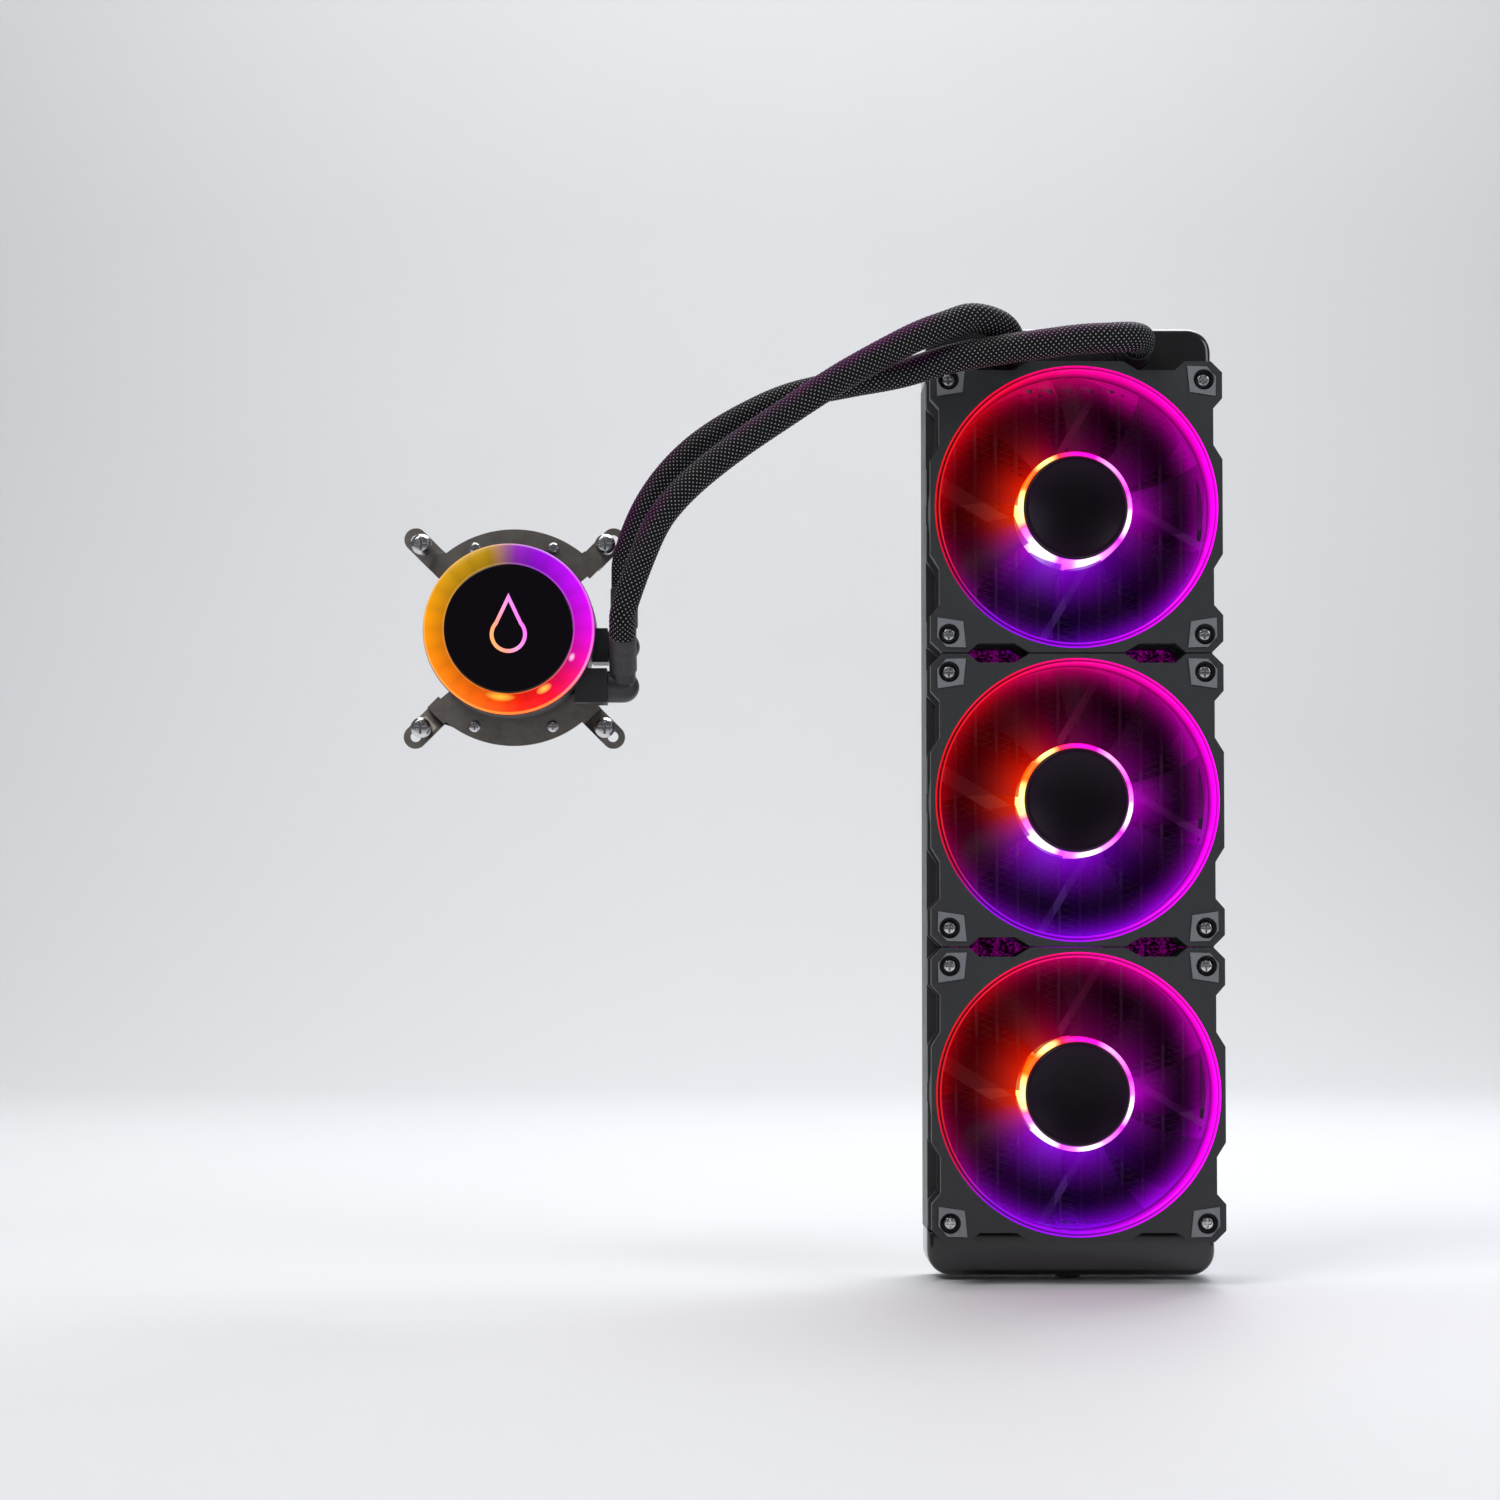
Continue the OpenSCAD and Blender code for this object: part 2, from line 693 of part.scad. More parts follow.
module bracket_screws() color([0.75, 0.75, 0.76])
  at_pump()
    for (sx = [-1, 1], sz = [-1, 1])
      translate([16 * sx, 0, 36.5 * sz]) cross_screw(arc_back - tab_t, 2.4, 1.5, 1.2, 5.5);

// Each screw has a shoulder under its head and a thinner thread at its end
module mount_screws() color([0.72, 0.72, 0.73])
  at_pump() at_corners(mount_span / 2) {
    cross_screw(-57.5, 4.15, 3.2, 2, 11.5);
    bar(-46.01, -34, thread_r);
  }

// Spring between screw head and tab, as a ribbed sleeve of its outer shape
module mount_springs() color([0.6, 0.6, 0.62])
  at_pump() at_corners(mount_span / 2)
    turned(tab_back - tab_t) polygon(concat(
      [[2.3, 7.5], [2.3, 0]],
      [for (i = [0:4]) each [[2.9, i * 1.5], [3.5, i * 1.5 + 0.75]]],
      [[2.9, 7.5]]
    ));

top_tank();
tank_divider();
bottom_tank();
header_plates();
water_tubes();
cooling_fins();
side_rails();
fill_plug();
hose_barbs();
hose_ferrules();
fan_frame(fan_z[0]);  // top_fan_frame
light_ring(fan_z[0]);  // top_fan_light_ring
corner_pads(fan_z[0]);  // top_fan_corner_pads
fan_stator(fan_z[0]);  // top_fan_stator
fan_bearing(fan_z[0]);  // top_fan_bearing
fan_rotor(fan_z[0]);  // top_fan_rotor
magnet_yoke(fan_z[0]);  // top_fan_magnet_yoke
hub_cap(fan_z[0]);  // top_fan_hub_cap
fan_frame(fan_z[1]);  // middle_fan_frame
light_ring(fan_z[1]);  // middle_fan_light_ring
corner_pads(fan_z[1]);  // middle_fan_corner_pads
fan_stator(fan_z[1]);  // middle_fan_stator
fan_bearing(fan_z[1]);  // middle_fan_bearing
fan_rotor(fan_z[1]);  // middle_fan_rotor
magnet_yoke(fan_z[1]);  // middle_fan_magnet_yoke
hub_cap(fan_z[1]);  // middle_fan_hub_cap
fan_frame(fan_z[2]);  // bottom_fan_frame
light_ring(fan_z[2]);  // bottom_fan_light_ring
corner_pads(fan_z[2]);  // bottom_fan_corner_pads
fan_stator(fan_z[2]);  // bottom_fan_stator
fan_bearing(fan_z[2]);  // bottom_fan_bearing
fan_rotor(fan_z[2]);  // bottom_fan_rotor
magnet_yoke(fan_z[2]);  // bottom_fan_magnet_yoke
hub_cap(fan_z[2]);  // bottom_fan_hub_cap
fan_screws();
hose_front();
hose_rear();
elbow(lower_port, lower_lean);  // lower_elbow
hose_collar(lower_port, lower_lean);  // lower_hose_collar
elbow(upper_port, 0);  // upper_elbow
hose_collar(upper_port, 0);  // upper_hose_collar
cold_plate();
cold_plate_screws();
gasket();
pump_base();
pump_housing();
port_block();
pump_stator();
impeller();
pump_axle();
control_board();
pump_light_ring();
face_disc();
drop_emblem();
upper_bracket();
lower_bracket();
bracket_screws();
mount_screws();
mount_springs();
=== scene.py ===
import json
import math

import bmesh
import bpy
import numpy as np
from bpy.props import FloatProperty, FloatVectorProperty, IntProperty
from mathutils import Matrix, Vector


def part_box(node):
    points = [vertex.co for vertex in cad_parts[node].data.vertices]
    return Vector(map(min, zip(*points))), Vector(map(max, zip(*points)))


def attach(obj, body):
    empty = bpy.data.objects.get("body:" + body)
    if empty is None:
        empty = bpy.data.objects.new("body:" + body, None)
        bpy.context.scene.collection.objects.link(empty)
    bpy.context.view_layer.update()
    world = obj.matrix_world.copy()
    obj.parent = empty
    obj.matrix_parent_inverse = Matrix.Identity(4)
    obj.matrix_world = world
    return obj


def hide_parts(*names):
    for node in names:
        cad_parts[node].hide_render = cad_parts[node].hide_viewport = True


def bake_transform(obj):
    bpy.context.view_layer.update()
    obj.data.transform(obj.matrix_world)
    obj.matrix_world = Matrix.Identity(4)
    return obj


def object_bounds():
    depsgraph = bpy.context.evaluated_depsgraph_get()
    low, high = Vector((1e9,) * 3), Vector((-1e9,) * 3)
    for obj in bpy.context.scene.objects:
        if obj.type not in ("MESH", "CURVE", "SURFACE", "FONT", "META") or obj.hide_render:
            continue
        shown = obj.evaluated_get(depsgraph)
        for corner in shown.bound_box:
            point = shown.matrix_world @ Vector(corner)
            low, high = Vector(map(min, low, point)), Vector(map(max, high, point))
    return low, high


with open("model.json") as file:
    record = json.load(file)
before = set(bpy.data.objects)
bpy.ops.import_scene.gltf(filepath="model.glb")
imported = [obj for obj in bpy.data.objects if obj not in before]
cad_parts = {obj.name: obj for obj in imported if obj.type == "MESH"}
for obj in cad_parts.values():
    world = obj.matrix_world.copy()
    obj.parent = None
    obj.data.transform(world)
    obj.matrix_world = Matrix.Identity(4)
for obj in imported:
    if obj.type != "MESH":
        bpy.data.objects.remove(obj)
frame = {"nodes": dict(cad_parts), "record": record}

CAD_BOX = [list(corner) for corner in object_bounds()]

bl_info = {
    "name": "Liquid Cooler",
    "version": (1, 0, 0),
    "blender": (4, 5, 0),
    "location": "View3D > Sidebar > Cooler",
    "description": "Builds the pieces, finishes and stage of a three-fan liquid cooler",
    "category": "Object",
}

FANS = ("top", "middle", "bottom")


def corners(node):
    """Lowest and highest corner of a CAD node's box."""
    return [Vector(corner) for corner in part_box(node)]


def middle(node):
    """Centre of a CAD node's box."""
    low, high = corners(node)
    return (low + high) / 2


FAN_CENTRES = {fan: middle(fan + "_fan_hub_cap") for fan in FANS}
FAN_PITCH = FAN_CENTRES["top"].z - FAN_CENTRES["middle"].z
FAN_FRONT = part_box("middle_fan_frame")[0][1]
CORE_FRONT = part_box("cooling_fins")[0][1]
PUMP = middle("face_disc")

# Radii about each fan's axis, in metres
HUB_INNER, HUB_OUTER = 0.0219, 0.0235
BLADE_ROOT, BLADE_TIP = 0.0229, 0.0546
DUCT = 0.0563

# The hoses' routes, from the radiator's ferrules to the elbow collars, in metres
HOSE_FRONT_ROUTE = [
    (-0.027, -0.041, 0.190), (-0.027, -0.046, 0.190), (-0.028, -0.053, 0.191),
    (-0.032, -0.061, 0.193), (-0.039, -0.067, 0.1942), (-0.046, -0.070, 0.194),
    (-0.054, -0.072, 0.191), (-0.064, -0.074, 0.187), (-0.074, -0.0755, 0.182),
    (-0.090, -0.0775, 0.173), (-0.103, -0.079, 0.165), (-0.122, -0.081, 0.152),
    (-0.139, -0.083, 0.140), (-0.154, -0.0845, 0.128), (-0.165, -0.086, 0.117),
    (-0.172, -0.087, 0.107), (-0.178, -0.0877, 0.093), (-0.182, -0.0877, 0.082),
    (-0.185, -0.0855, 0.073), (-0.1855, -0.0824, 0.0682), (-0.1855, -0.0794, 0.0642),
]
HOSE_REAR_ROUTE = [
    (0.027, -0.041, 0.190), (0.027, -0.046, 0.190), (0.0255, -0.054, 0.1895),
    (0.020, -0.0615, 0.1885), (0.011, -0.0665, 0.187), (0.0, -0.0685, 0.186),
    (-0.015, -0.069, 0.184), (-0.033, -0.0685, 0.1815), (-0.053, -0.0675, 0.178),
    (-0.073, -0.065, 0.1725), (-0.094, -0.0625, 0.169), (-0.118, -0.061, 0.164),
    (-0.138, -0.061, 0.155), (-0.154, -0.061, 0.145), (-0.166, -0.0605, 0.134),
    (-0.175, -0.060, 0.122), (-0.181, -0.059, 0.110), (-0.185, -0.058, 0.098),
    (-0.1855, -0.058, 0.091), (-0.1855, -0.058, 0.086),
]


# ---- Settings a user may change ----

class CoolerSizes(bpy.types.PropertyGroup):
    braid_pitch: FloatProperty(
        name="Braid pitch", description="Length of one woven bead of the hose sleeve",
        default=0.0021, unit="LENGTH", precision=5)
    braid_carriers: IntProperty(
        name="Braid carriers", description="Strands of the sleeve that run each way round",
        default=16, min=8)
    strand_lift: FloatProperty(
        name="Strand lift", description="How far a strand stands above the sleeve's valleys",
        default=0.00034, unit="LENGTH", precision=5)
    hose_radius: FloatProperty(
        name="Hose radius", description="Radius of a sleeved hose at the radiator",
        default=0.00625, unit="LENGTH", precision=5)
    hose_end_radius: FloatProperty(
        name="Hose end radius", description="Radius of a sleeved hose at the pump head",
        default=0.0053, unit="LENGTH", precision=5)
    fin_fold: FloatProperty(
        name="Fin fold", description="Height of one full fold of the fin strip",
        default=0.003, unit="LENGTH", precision=5)
    fin_skin: FloatProperty(
        name="Fin skin", description="Thickness of the fin strip",
        default=0.00022, unit="LENGTH", precision=5)
    fin_wave: FloatProperty(
        name="Fin wave", description="How far the fins rise and fall from front to back",
        default=0.0034, unit="LENGTH", precision=5)
    edge_round: FloatProperty(
        name="Edge round", description="Radius that moulded and pressed edges are broken to",
        default=0.0003, unit="LENGTH", precision=5)
    tank_fillet: FloatProperty(
        name="Tank fillet", description="Radius along the edges of the end tanks",
        default=0.0028, unit="LENGTH", precision=5)
    blade_count: IntProperty(
        name="Blades", description="Blades on each rotor", default=9, min=3)
    blade_skin: FloatProperty(
        name="Blade thickness", description="Thickest part of a blade at its root",
        default=0.0017, unit="LENGTH", precision=5)


class CoolerColours(bpy.types.PropertyGroup):
    ring_glow: FloatProperty(
        name="Ring glow", description="Strength of the fans' light rings", default=1.6, min=0)
    hub_glow: FloatProperty(
        name="Hub glow", description="Strength of the fans' lit hubs", default=3.2, min=0)
    haze_glow: FloatProperty(
        name="Blade glow", description="Light caught inside the clear blades", default=0.85, min=0)
    pump_glow: FloatProperty(
        name="Pump glow", description="Strength of the pump head's light ring", default=1.25, min=0)
    frame_plastic: FloatVectorProperty(
        name="Fan frame", description="Colour of the fan frames", subtype="COLOR", size=3,
        default=(0.017, 0.018, 0.0205))
    sleeve: FloatVectorProperty(
        name="Sleeve", description="Colour of the hose sleeves", subtype="COLOR", size=3,
        default=(0.018, 0.018, 0.02))
    paint: FloatVectorProperty(
        name="Radiator paint", description="Colour of the radiator's paint", subtype="COLOR",
        size=3, default=(0.012, 0.012, 0.013))
    bracket: FloatVectorProperty(
        name="Bracket steel", description="Colour of the plated bracket", subtype="COLOR", size=3,
        default=(0.22, 0.2, 0.185))


def sizes():
    return bpy.context.scene.cooler_sizes


def colours():
    return bpy.context.scene.cooler_colours


# ---- Finishes ----

class Signal:
    """A value socket of a finish, on which plain arithmetic adds the Math nodes."""

    def __init__(self, finish, socket):
        self.finish = finish
        self.socket = socket

    def _with(self, operation, first, second=None):
        inputs = {0: first} if second is None else {0: first, 1: second}
        node = self.finish.add("ShaderNodeMath", {"operation": operation}, inputs)
        return Signal(self.finish, node.outputs[0])

    def __add__(self, other):
        return self._with("ADD", self, other)

    def __sub__(self, other):
        return self._with("SUBTRACT", self, other)

    def __rsub__(self, other):
        return self._with("SUBTRACT", other, self)

    def __mul__(self, other):
        return self._with("MULTIPLY", self, other)

    def __truediv__(self, other):
        return self._with("DIVIDE", self, other)

    def __pow__(self, other):
        return self._with("POWER", self, other)

    def __mod__(self, other):
        return self._with("FLOORED_MODULO", self, other)

    def __rtruediv__(self, other):
        return self._with("DIVIDE", other, self)

    def __rpow__(self, other):
        return self._with("POWER", other, self)

    def __rmod__(self, other):
        return self._with("FLOORED_MODULO", other, self)

    __radd__ = __add__
    __rmul__ = __mul__

    def sine(self):
        return self._with("SINE", self)

    def floor(self):
        return self._with("FLOOR", self)

    def rounded(self):
        return self._with("ROUND", self)

    def fract(self):
        return self._with("FRACT", self)

    def root(self):
        return self._with("SQRT", self)

    def above(self, edge):
        return self._with("GREATER_THAN", self, edge)

    def clamp(self):
        return self._with("MINIMUM", self._with("MAXIMUM", self, 0.0), 1.0)

    def step(self, low, high):
        """0 at low, 1 at high, and a straight climb between."""
        return ((self - low) / (high - low)).clamp()


FINISHES = {}


class Finish:
    """A material for one slot, with a Principled shader and short ways to feed it."""

    def __init__(self, slot, colour, roughness, metallic=0.0, **constants):
        self.material = bpy.data.materials.new(slot + "_finish")
        FINISHES[slot] = self.material
        self.material.use_nodes = True
        self.nodes = self.material.node_tree.nodes
        self.links = self.material.node_tree.links
        self.shader = next(n for n in self.nodes if n.type == "BSDF_PRINCIPLED")
        self.material.diffuse_color = (*colour, 1.0)
        fixed = {"Base Color": (*colour, 1.0), "Roughness": roughness, "Metallic": metallic}
        fixed.update(constants)
        for name, value in fixed.items():
            self.shader.inputs[name].default_value = value

    def add(self, kind, settings=None, inputs=None):
        """A node of any kind: settings first, then values or links for its sockets."""
        node = self.nodes.new(kind)
        for name, value in (settings or {}).items():
            setattr(node, name, value)
        for name, value in (inputs or {}).items():
            self.connect(node.inputs[name], value)
        return node

    def connect(self, socket, value):
        if isinstance(value, Signal):
            value = value.socket
        if isinstance(value, bpy.types.NodeSocket):
            self.links.new(value, socket)
        else:
            socket.default_value = value

    def feed(self, **inputs):
        """Links signals to the shader's sockets: underscores stand for spaces."""
        for name, value in inputs.items():
            self.connect(self.shader.inputs[name.replace("_", " ")], value)

    def place(self):
        """The point being shaded, in the frame's metres, as three signals."""
        point = self.add("ShaderNodeTexCoord").outputs["Object"]
        split = self.add("ShaderNodeSeparateXYZ", inputs={0: point})
        return [Signal(self, output) for output in split.outputs]

    def noise(self, scale, detail=2.0, roughness=0.5):
        point = self.add("ShaderNodeTexCoord").outputs["Object"]
        node = self.add("ShaderNodeTexNoise", {"noise_dimensions": "3D"}, {
            "Vector": point, "Scale": scale, "Detail": detail, "Roughness": roughness})
        return Signal(self, node.outputs[0])

    def stretched_noise(self, scales, detail=2.0):
        """Noise whose grain is a different length along X, Y and Z."""
        point = self.add("ShaderNodeTexCoord").outputs["Object"]
        grown = self.add("ShaderNodeVectorMath", {"operation": "MULTIPLY"}, {0: point, 1: scales})
        node = self.add("ShaderNodeTexNoise", {"noise_dimensions": "3D"}, {
            "Vector": grown.outputs[0], "Scale": 1.0, "Detail": detail})
        return Signal(self, node.outputs[0])

    def mix(self, factor, first, second):
        """Colour between first and second."""
        node = self.add("ShaderNodeMix", {"data_type": "RGBA"})
        self.connect(node.inputs[0], factor)
        for index, colour in ((6, first), (7, second)):
            self.connect(node.inputs[index], (*colour, 1.0) if isinstance(colour, tuple) else colour)
        return node.outputs[2]

    def ramp(self, signal, stops):
        """Colour from a list of (place, colour) stops."""
        node = self.add("ShaderNodeValToRGB", inputs={0: signal})
        elements = node.color_ramp.elements
        while len(elements) < len(stops):
            elements.new(1.0)
        for element, (where, colour) in zip(elements, stops):
            element.position = where
            element.color = (*colour, 1.0)
        return node.outputs[0]

    def bump(self, height, depth, strength=1.0):
        """Small relief, depth in metres for a height signal from 0 to 1."""
        node = self.add("ShaderNodeBump", inputs={
            "Strength": strength, "Distance": depth, "Height": height})
        self.connect(self.shader.inputs["Normal"], node.outputs[0])

    def polar(self, across, up):
        """Turn from 0 to 1, anticlockwise from +X, and the distance from the centre."""
        angle = Signal(self, self.add(
            "ShaderNodeMath", {"operation": "ARCTAN2"}, {0: up, 1: across}).outputs[0])
        return (angle / math.tau).fract(), (across * across + up * up).root()

    def fan_polar(self):
        x, y, z = self.place()
        up = z - (z / FAN_PITCH).rounded() * FAN_PITCH
        turn, radius = self.polar(x, up)
        return turn, radius, y

    def glow(self, colour, strength):
        self.connect(self.shader.inputs["Emission Color"], colour)
        self.shader.inputs["Emission Strength"].default_value = strength


def shade(colour, factor):
    """A plain colour made darker or lighter."""
    return tuple(factor * c for c in colour)


def brightness(finish, colour, factor):
    """A colour scaled by a signal, going to black."""
    return finish.mix(factor, (0.0, 0.0, 0.0), colour)


MAGENTA = (0.9, 0.0, 0.78)
RED = (0.95, 0.006, 0.008)
HOT_YELLOW = (1.0, 0.75, 0.2)
HOT_WHITE = (1.0, 0.8, 1.0)


def haze(finish, floor_level=0.0):
    """The rings' light seen through the turning blades: near the hub, and again inside the ring."""
    turn, radius, _ = finish.fan_polar()
    outer = finish.ramp(turn, [
        (0.0, (0.42, 0.0, 0.42)), (0.1, (0.42, 0.0, 0.32)), (0.25, (0.62, 0.0, 0.15)),
        (0.36, (0.62, 0.0, 0.008)), (0.5, (0.5, 0.0, 0.005)), (0.57, (0.34, 0.0, 0.12)),
        (0.64, (0.24, 0.0, 0.5)), (0.75, (0.26, 0.0, 0.95)), (0.86, (0.34, 0.0, 0.75)),
        (1.0, (0.42, 0.0, 0.42))])
    inner = finish.ramp(turn, [
        (0.0, (0.75, 0.0, 0.85)), (0.06, (0.25, 0.0, 0.25)), (0.14, (0.13, 0.0, 0.09)),
        (0.27, (0.16, 0.0, 0.05)), (0.36, (0.6, 0.004, 0.0)), (0.44, (0.95, 0.02, 0.0)),
        (0.53, (1.0, 0.03, 0.0)), (0.59, (0.45, 0.005, 0.55)), (0.66, (0.36, 0.01, 1.0)),
        (0.78, (0.3, 0.0, 0.8)), (0.87, (0.1, 0.0, 0.28)), (0.95, (0.3, 0.0, 0.4)),
        (1.0, (0.75, 0.0, 0.85))])
    by_ring = radius.step(0.04, 0.0565) ** 4.2
    by_hub = (1.0 - radius.step(0.0225, 0.046)) ** 2.3
    middle_glow = 0.012 + 0.1 * ((turn - 0.2) * math.tau).sine().clamp()
    outer_part = brightness(finish, outer, (by_ring * 0.95 + middle_glow + floor_level).clamp())
    added = finish.add("ShaderNodeMix", {"data_type": "RGBA", "blend_type": "ADD"})
    finish.connect(added.inputs[0], 1.0)
    finish.connect(added.inputs[6], outer_part)
    finish.connect(added.inputs[7], brightness(finish, inner, (by_hub * 0.9).clamp()))
    return added.outputs[2]


def ring_light():
    """Light ring: its colour runs round the fan, with a bright lip, a dark line and a bright rim, all
    painted brighter on the right side.
    """
    f = Finish("ring_light", (0.012, 0.002, 0.012), 0.3, **{"Specular IOR Level": 0.15})
    turn, radius, depth = f.fan_polar()
    colour = f.ramp(turn, [
        (0.0, MAGENTA), (0.125, (0.95, 0.0, 0.5)), (0.25, (1.0, 0.0, 0.26)), (0.33, (1.0, 0.0, 0.05)),
        (0.42, RED), (0.52, RED), (0.585, (0.6, 0.0, 0.1)), (0.64, (0.3, 0.0, 0.85)),
        (0.75, (0.36, 0.0, 0.95)), (0.83, (0.62, 0.0, 0.85)), (0.92, (0.86, 0.0, 0.85)),
        (1.0, MAGENTA)])
    rim = radius.step(0.0574, 0.0576)
    lip = 1.0 - radius.step(0.0566, 0.0568)
    inward = depth.step(FAN_FRONT, FAN_FRONT + 0.013)
    # Painted light: the right side of each ring, its rim, lit wall and the dark line between rim and
    # lip, is made brighter.
    near_right = 0.5 + 0.5 * ((turn + 0.25) * math.tau).sine()
    wall = lip * (1.0 - 0.9 * inward) * (0.55 + 0.45 * near_right)
    groove = (1.0 - rim) * (1.0 - lip) * (0.03 + 0.35 * near_right)
    streaks = 0.78 + 0.4 * f.stretched_noise((60.0, 900.0, 60.0))
    f.glow(brightness(f, colour, ((rim * (0.6 + 0.4 * near_right) + wall + groove) * streaks).clamp()),
           colours().ring_glow)
    return f


def rotor_clear():
    """Clear smoky blades that catch the rings' light."""
    f = Finish("smoky_clear_plastic", (0.004, 0.001, 0.005), 0.4, **{"Specular IOR Level": 0.06})
    _, radius, _ = f.fan_polar()
    f.glow(haze(f, 0.01), colours().haze_glow)
    by_hub = 1.0 - radius.step(HUB_OUTER, 0.034)
    f.feed(Alpha=(0.34 + 0.3 * by_hub).clamp())
    f.feed(Roughness=0.36 + 0.1 * f.noise(300.0))
    return f


def hub_light():
    """The lit wall of the hub, hottest where the lamps sit behind it, and dark on its face."""
    f = Finish("hub_light", (0.008, 0.004, 0.008), 0.35)
    turn, radius, depth = f.fan_polar()
    colour = f.ramp(turn, [
        (0.0, (1.0, 0.12, 0.9)), (0.05, (0.8, 0.01, 0.5)), (0.15, (0.9, 0.2, 0.7)),
        (0.19, (0.6, 0.0, 0.3)), (0.25, (0.7, 0.0, 0.3)), (0.3, (0.75, 0.01, 0.02)),
        (0.345, HOT_YELLOW), (0.385, (1.0, 0.06, 0.0)), (0.44, (1.0, 0.08, 0.0)),
        (0.475, HOT_YELLOW), (0.52, HOT_YELLOW), (0.555, (1.0, 0.06, 0.15)),
        (0.585, (0.75, 0.1, 1.0)), (0.62, HOT_WHITE), (0.66, HOT_WHITE), (0.7, (0.55, 0.03, 1.0)),
        (0.74, (0.8, 0.1, 1.0)), (0.785, HOT_WHITE), (0.83, (0.9, 0.15, 1.0)), (0.9, (0.6, 0.0, 0.7)),
        (0.965, HOT_WHITE), (1.0, (1.0, 0.12, 0.9))])
    streaks = 0.6 + 0.75 * f.stretched_noise((260.0, 60.0, 260.0))
    inward = depth.step(-0.0505, -0.036)
    edge = radius.step(0.0213, 0.0219)
    f.glow(brightness(f, colour, (edge * streaks * (1.0 - 0.55 * inward)).clamp()),
           colours().hub_glow)
    return f


def hub_cap():
    f = Finish("cap_black", (0.004, 0.002, 0.005), 0.4, **{"Specular IOR Level": 0.18})
    _, radius, _ = f.fan_polar()
    # Painted glow of the hub's light: the black cap turns lighter and purpler towards its edge.
    ring = radius.step(0.004, 0.0209) ** 2.0
    f.feed(Base_Color=f.mix(ring, (0.003, 0.0015, 0.004), (0.012, 0.003, 0.014)))
    turning = 0.5 + 0.5 * (radius * 42000.0).sine()
    f.feed(Roughness=0.3 + 0.1 * f.noise(500.0))
    f.bump(turning, 0.000006)
    return f


def frame_plastic():
    """Fan frames: moulded with a fine spark grain, with painted shade and a painted glow of the rings'
    light inside the duct.
    """
    colour = tuple(colours().frame_plastic)
    f = Finish("frame_plastic", colour, 0.55)
    grain = f.noise(2600.0, 3.0)
    handled = f.noise(38.0, 3.0)
    _, radius, _ = f.fan_polar()
    # Inside the duct the frame gets painted shade, a near-black colour, and a painted glow of the rings'
    # light.
    duct_shade_and_glow = 1.0 - radius.step(DUCT, DUCT + 0.0003)
    moulded_colour = f.mix(grain.step(0.35, 0.8), colour, shade(colour, 2.1))
    f.feed(Base_Color=f.mix(duct_shade_and_glow, moulded_colour, (0.003, 0.001, 0.003)))
    f.feed(Roughness=0.42 + 0.2 * grain + 0.1 * handled)
    f.glow(brightness(f, haze(f, 0.07), duct_shade_and_glow), 0.85)
    f.bump(grain, 0.00006)
    return f


def pad_rubber():
    f = Finish("pad_rubber", (0.14, 0.145, 0.16), 0.62)
    grain = f.noise(1500.0, 2.0)
    f.feed(Base_Color=f.mix(grain, (0.13, 0.135, 0.15), (0.23, 0.235, 0.26)))
    f.bump(grain, 0.00003)
    return f


def tank_paint():
    """Gloss black paint with a faint orange-peel and dust."""
    colour = tuple(colours().paint)
    f = Finish("black_gloss_tank", colour, 0.2, **{"Coat Weight": 0.4, "Coat Roughness": 0.06})
    peel = f.noise(420.0, 2.0)
    dust = f.noise(2300.0, 2.0)
    f.feed(Base_Color=f.mix(dust.step(0.62, 0.8), colour, (0.05, 0.05, 0.055)))
    f.feed(Roughness=0.16 + 0.1 * f.noise(60.0, 3.0))
    f.bump(peel, 0.00003)
    return f


def satin_paint(slot, colour, roughness):
    """Thin satin paint over metal."""
    f = Finish(slot, colour, roughness)
    speck = f.noise(1800.0, 2.0)
    f.feed(Base_Color=f.mix(speck, colour, shade(colour, 1.7)))
    f.feed(Roughness=(roughness - 0.08) + 0.16 * f.noise(120.0, 3.0))
    f.bump(speck, 0.00002)
    return f


def lit_core(slot, colour, roughness, strength, wear_glint_low, wear_glint_high):
    """Black paint inside the core, bare along stray crests, with the fans' coloured light painted on as
    a glow that fades deeper in, and as painted glints on the crests beyond the rings.
    """
    f = Finish(slot, colour, roughness, 0.0, **{"Specular IOR Level": 0.25})
    wear_and_glint = f.noise(700.0, 3.0).step(wear_glint_low, wear_glint_high)
    f.feed(Base_Color=f.mix(wear_and_glint, colour, shade(colour, 2.4)))
    f.feed(Roughness=(roughness - 0.08) + 0.2 * f.noise(900.0))
    _, radius, depth = f.fan_polar()
    beyond = radius.step(0.059, 0.062)
    # The magenta glow on the bare crests beyond the rings is painted glints of the fans' light.
    between = brightness(f, (0.5, 0.0, 0.42), (wear_and_glint * 0.55).clamp())
    # The painted glow fades out deeper inside the core.
    painted_glow_depth_fade = 1.0 - depth.step(CORE_FRONT + 0.003, CORE_FRONT + 0.011)
    f.glow(brightness(f, f.mix(beyond, haze(f), between), painted_glow_depth_fade), strength)
    return f


def metal(slot, colour, roughness, scratch=0.08, grain=(900.0, 900.0, 90.0)):
    """Bare or plated metal with drawn scratches and cloudy patches."""
    f = Finish(slot, colour, roughness, 1.0)
    drawn = f.stretched_noise(grain, 3.0)
    cloud = f.noise(160.0, 3.0)
    f.feed(Base_Color=f.mix(cloud, shade(colour, 0.78), colour))
    f.feed(Roughness=(roughness - scratch) + 2.0 * scratch * drawn)
    f.bump(drawn, 0.000012)
    return f


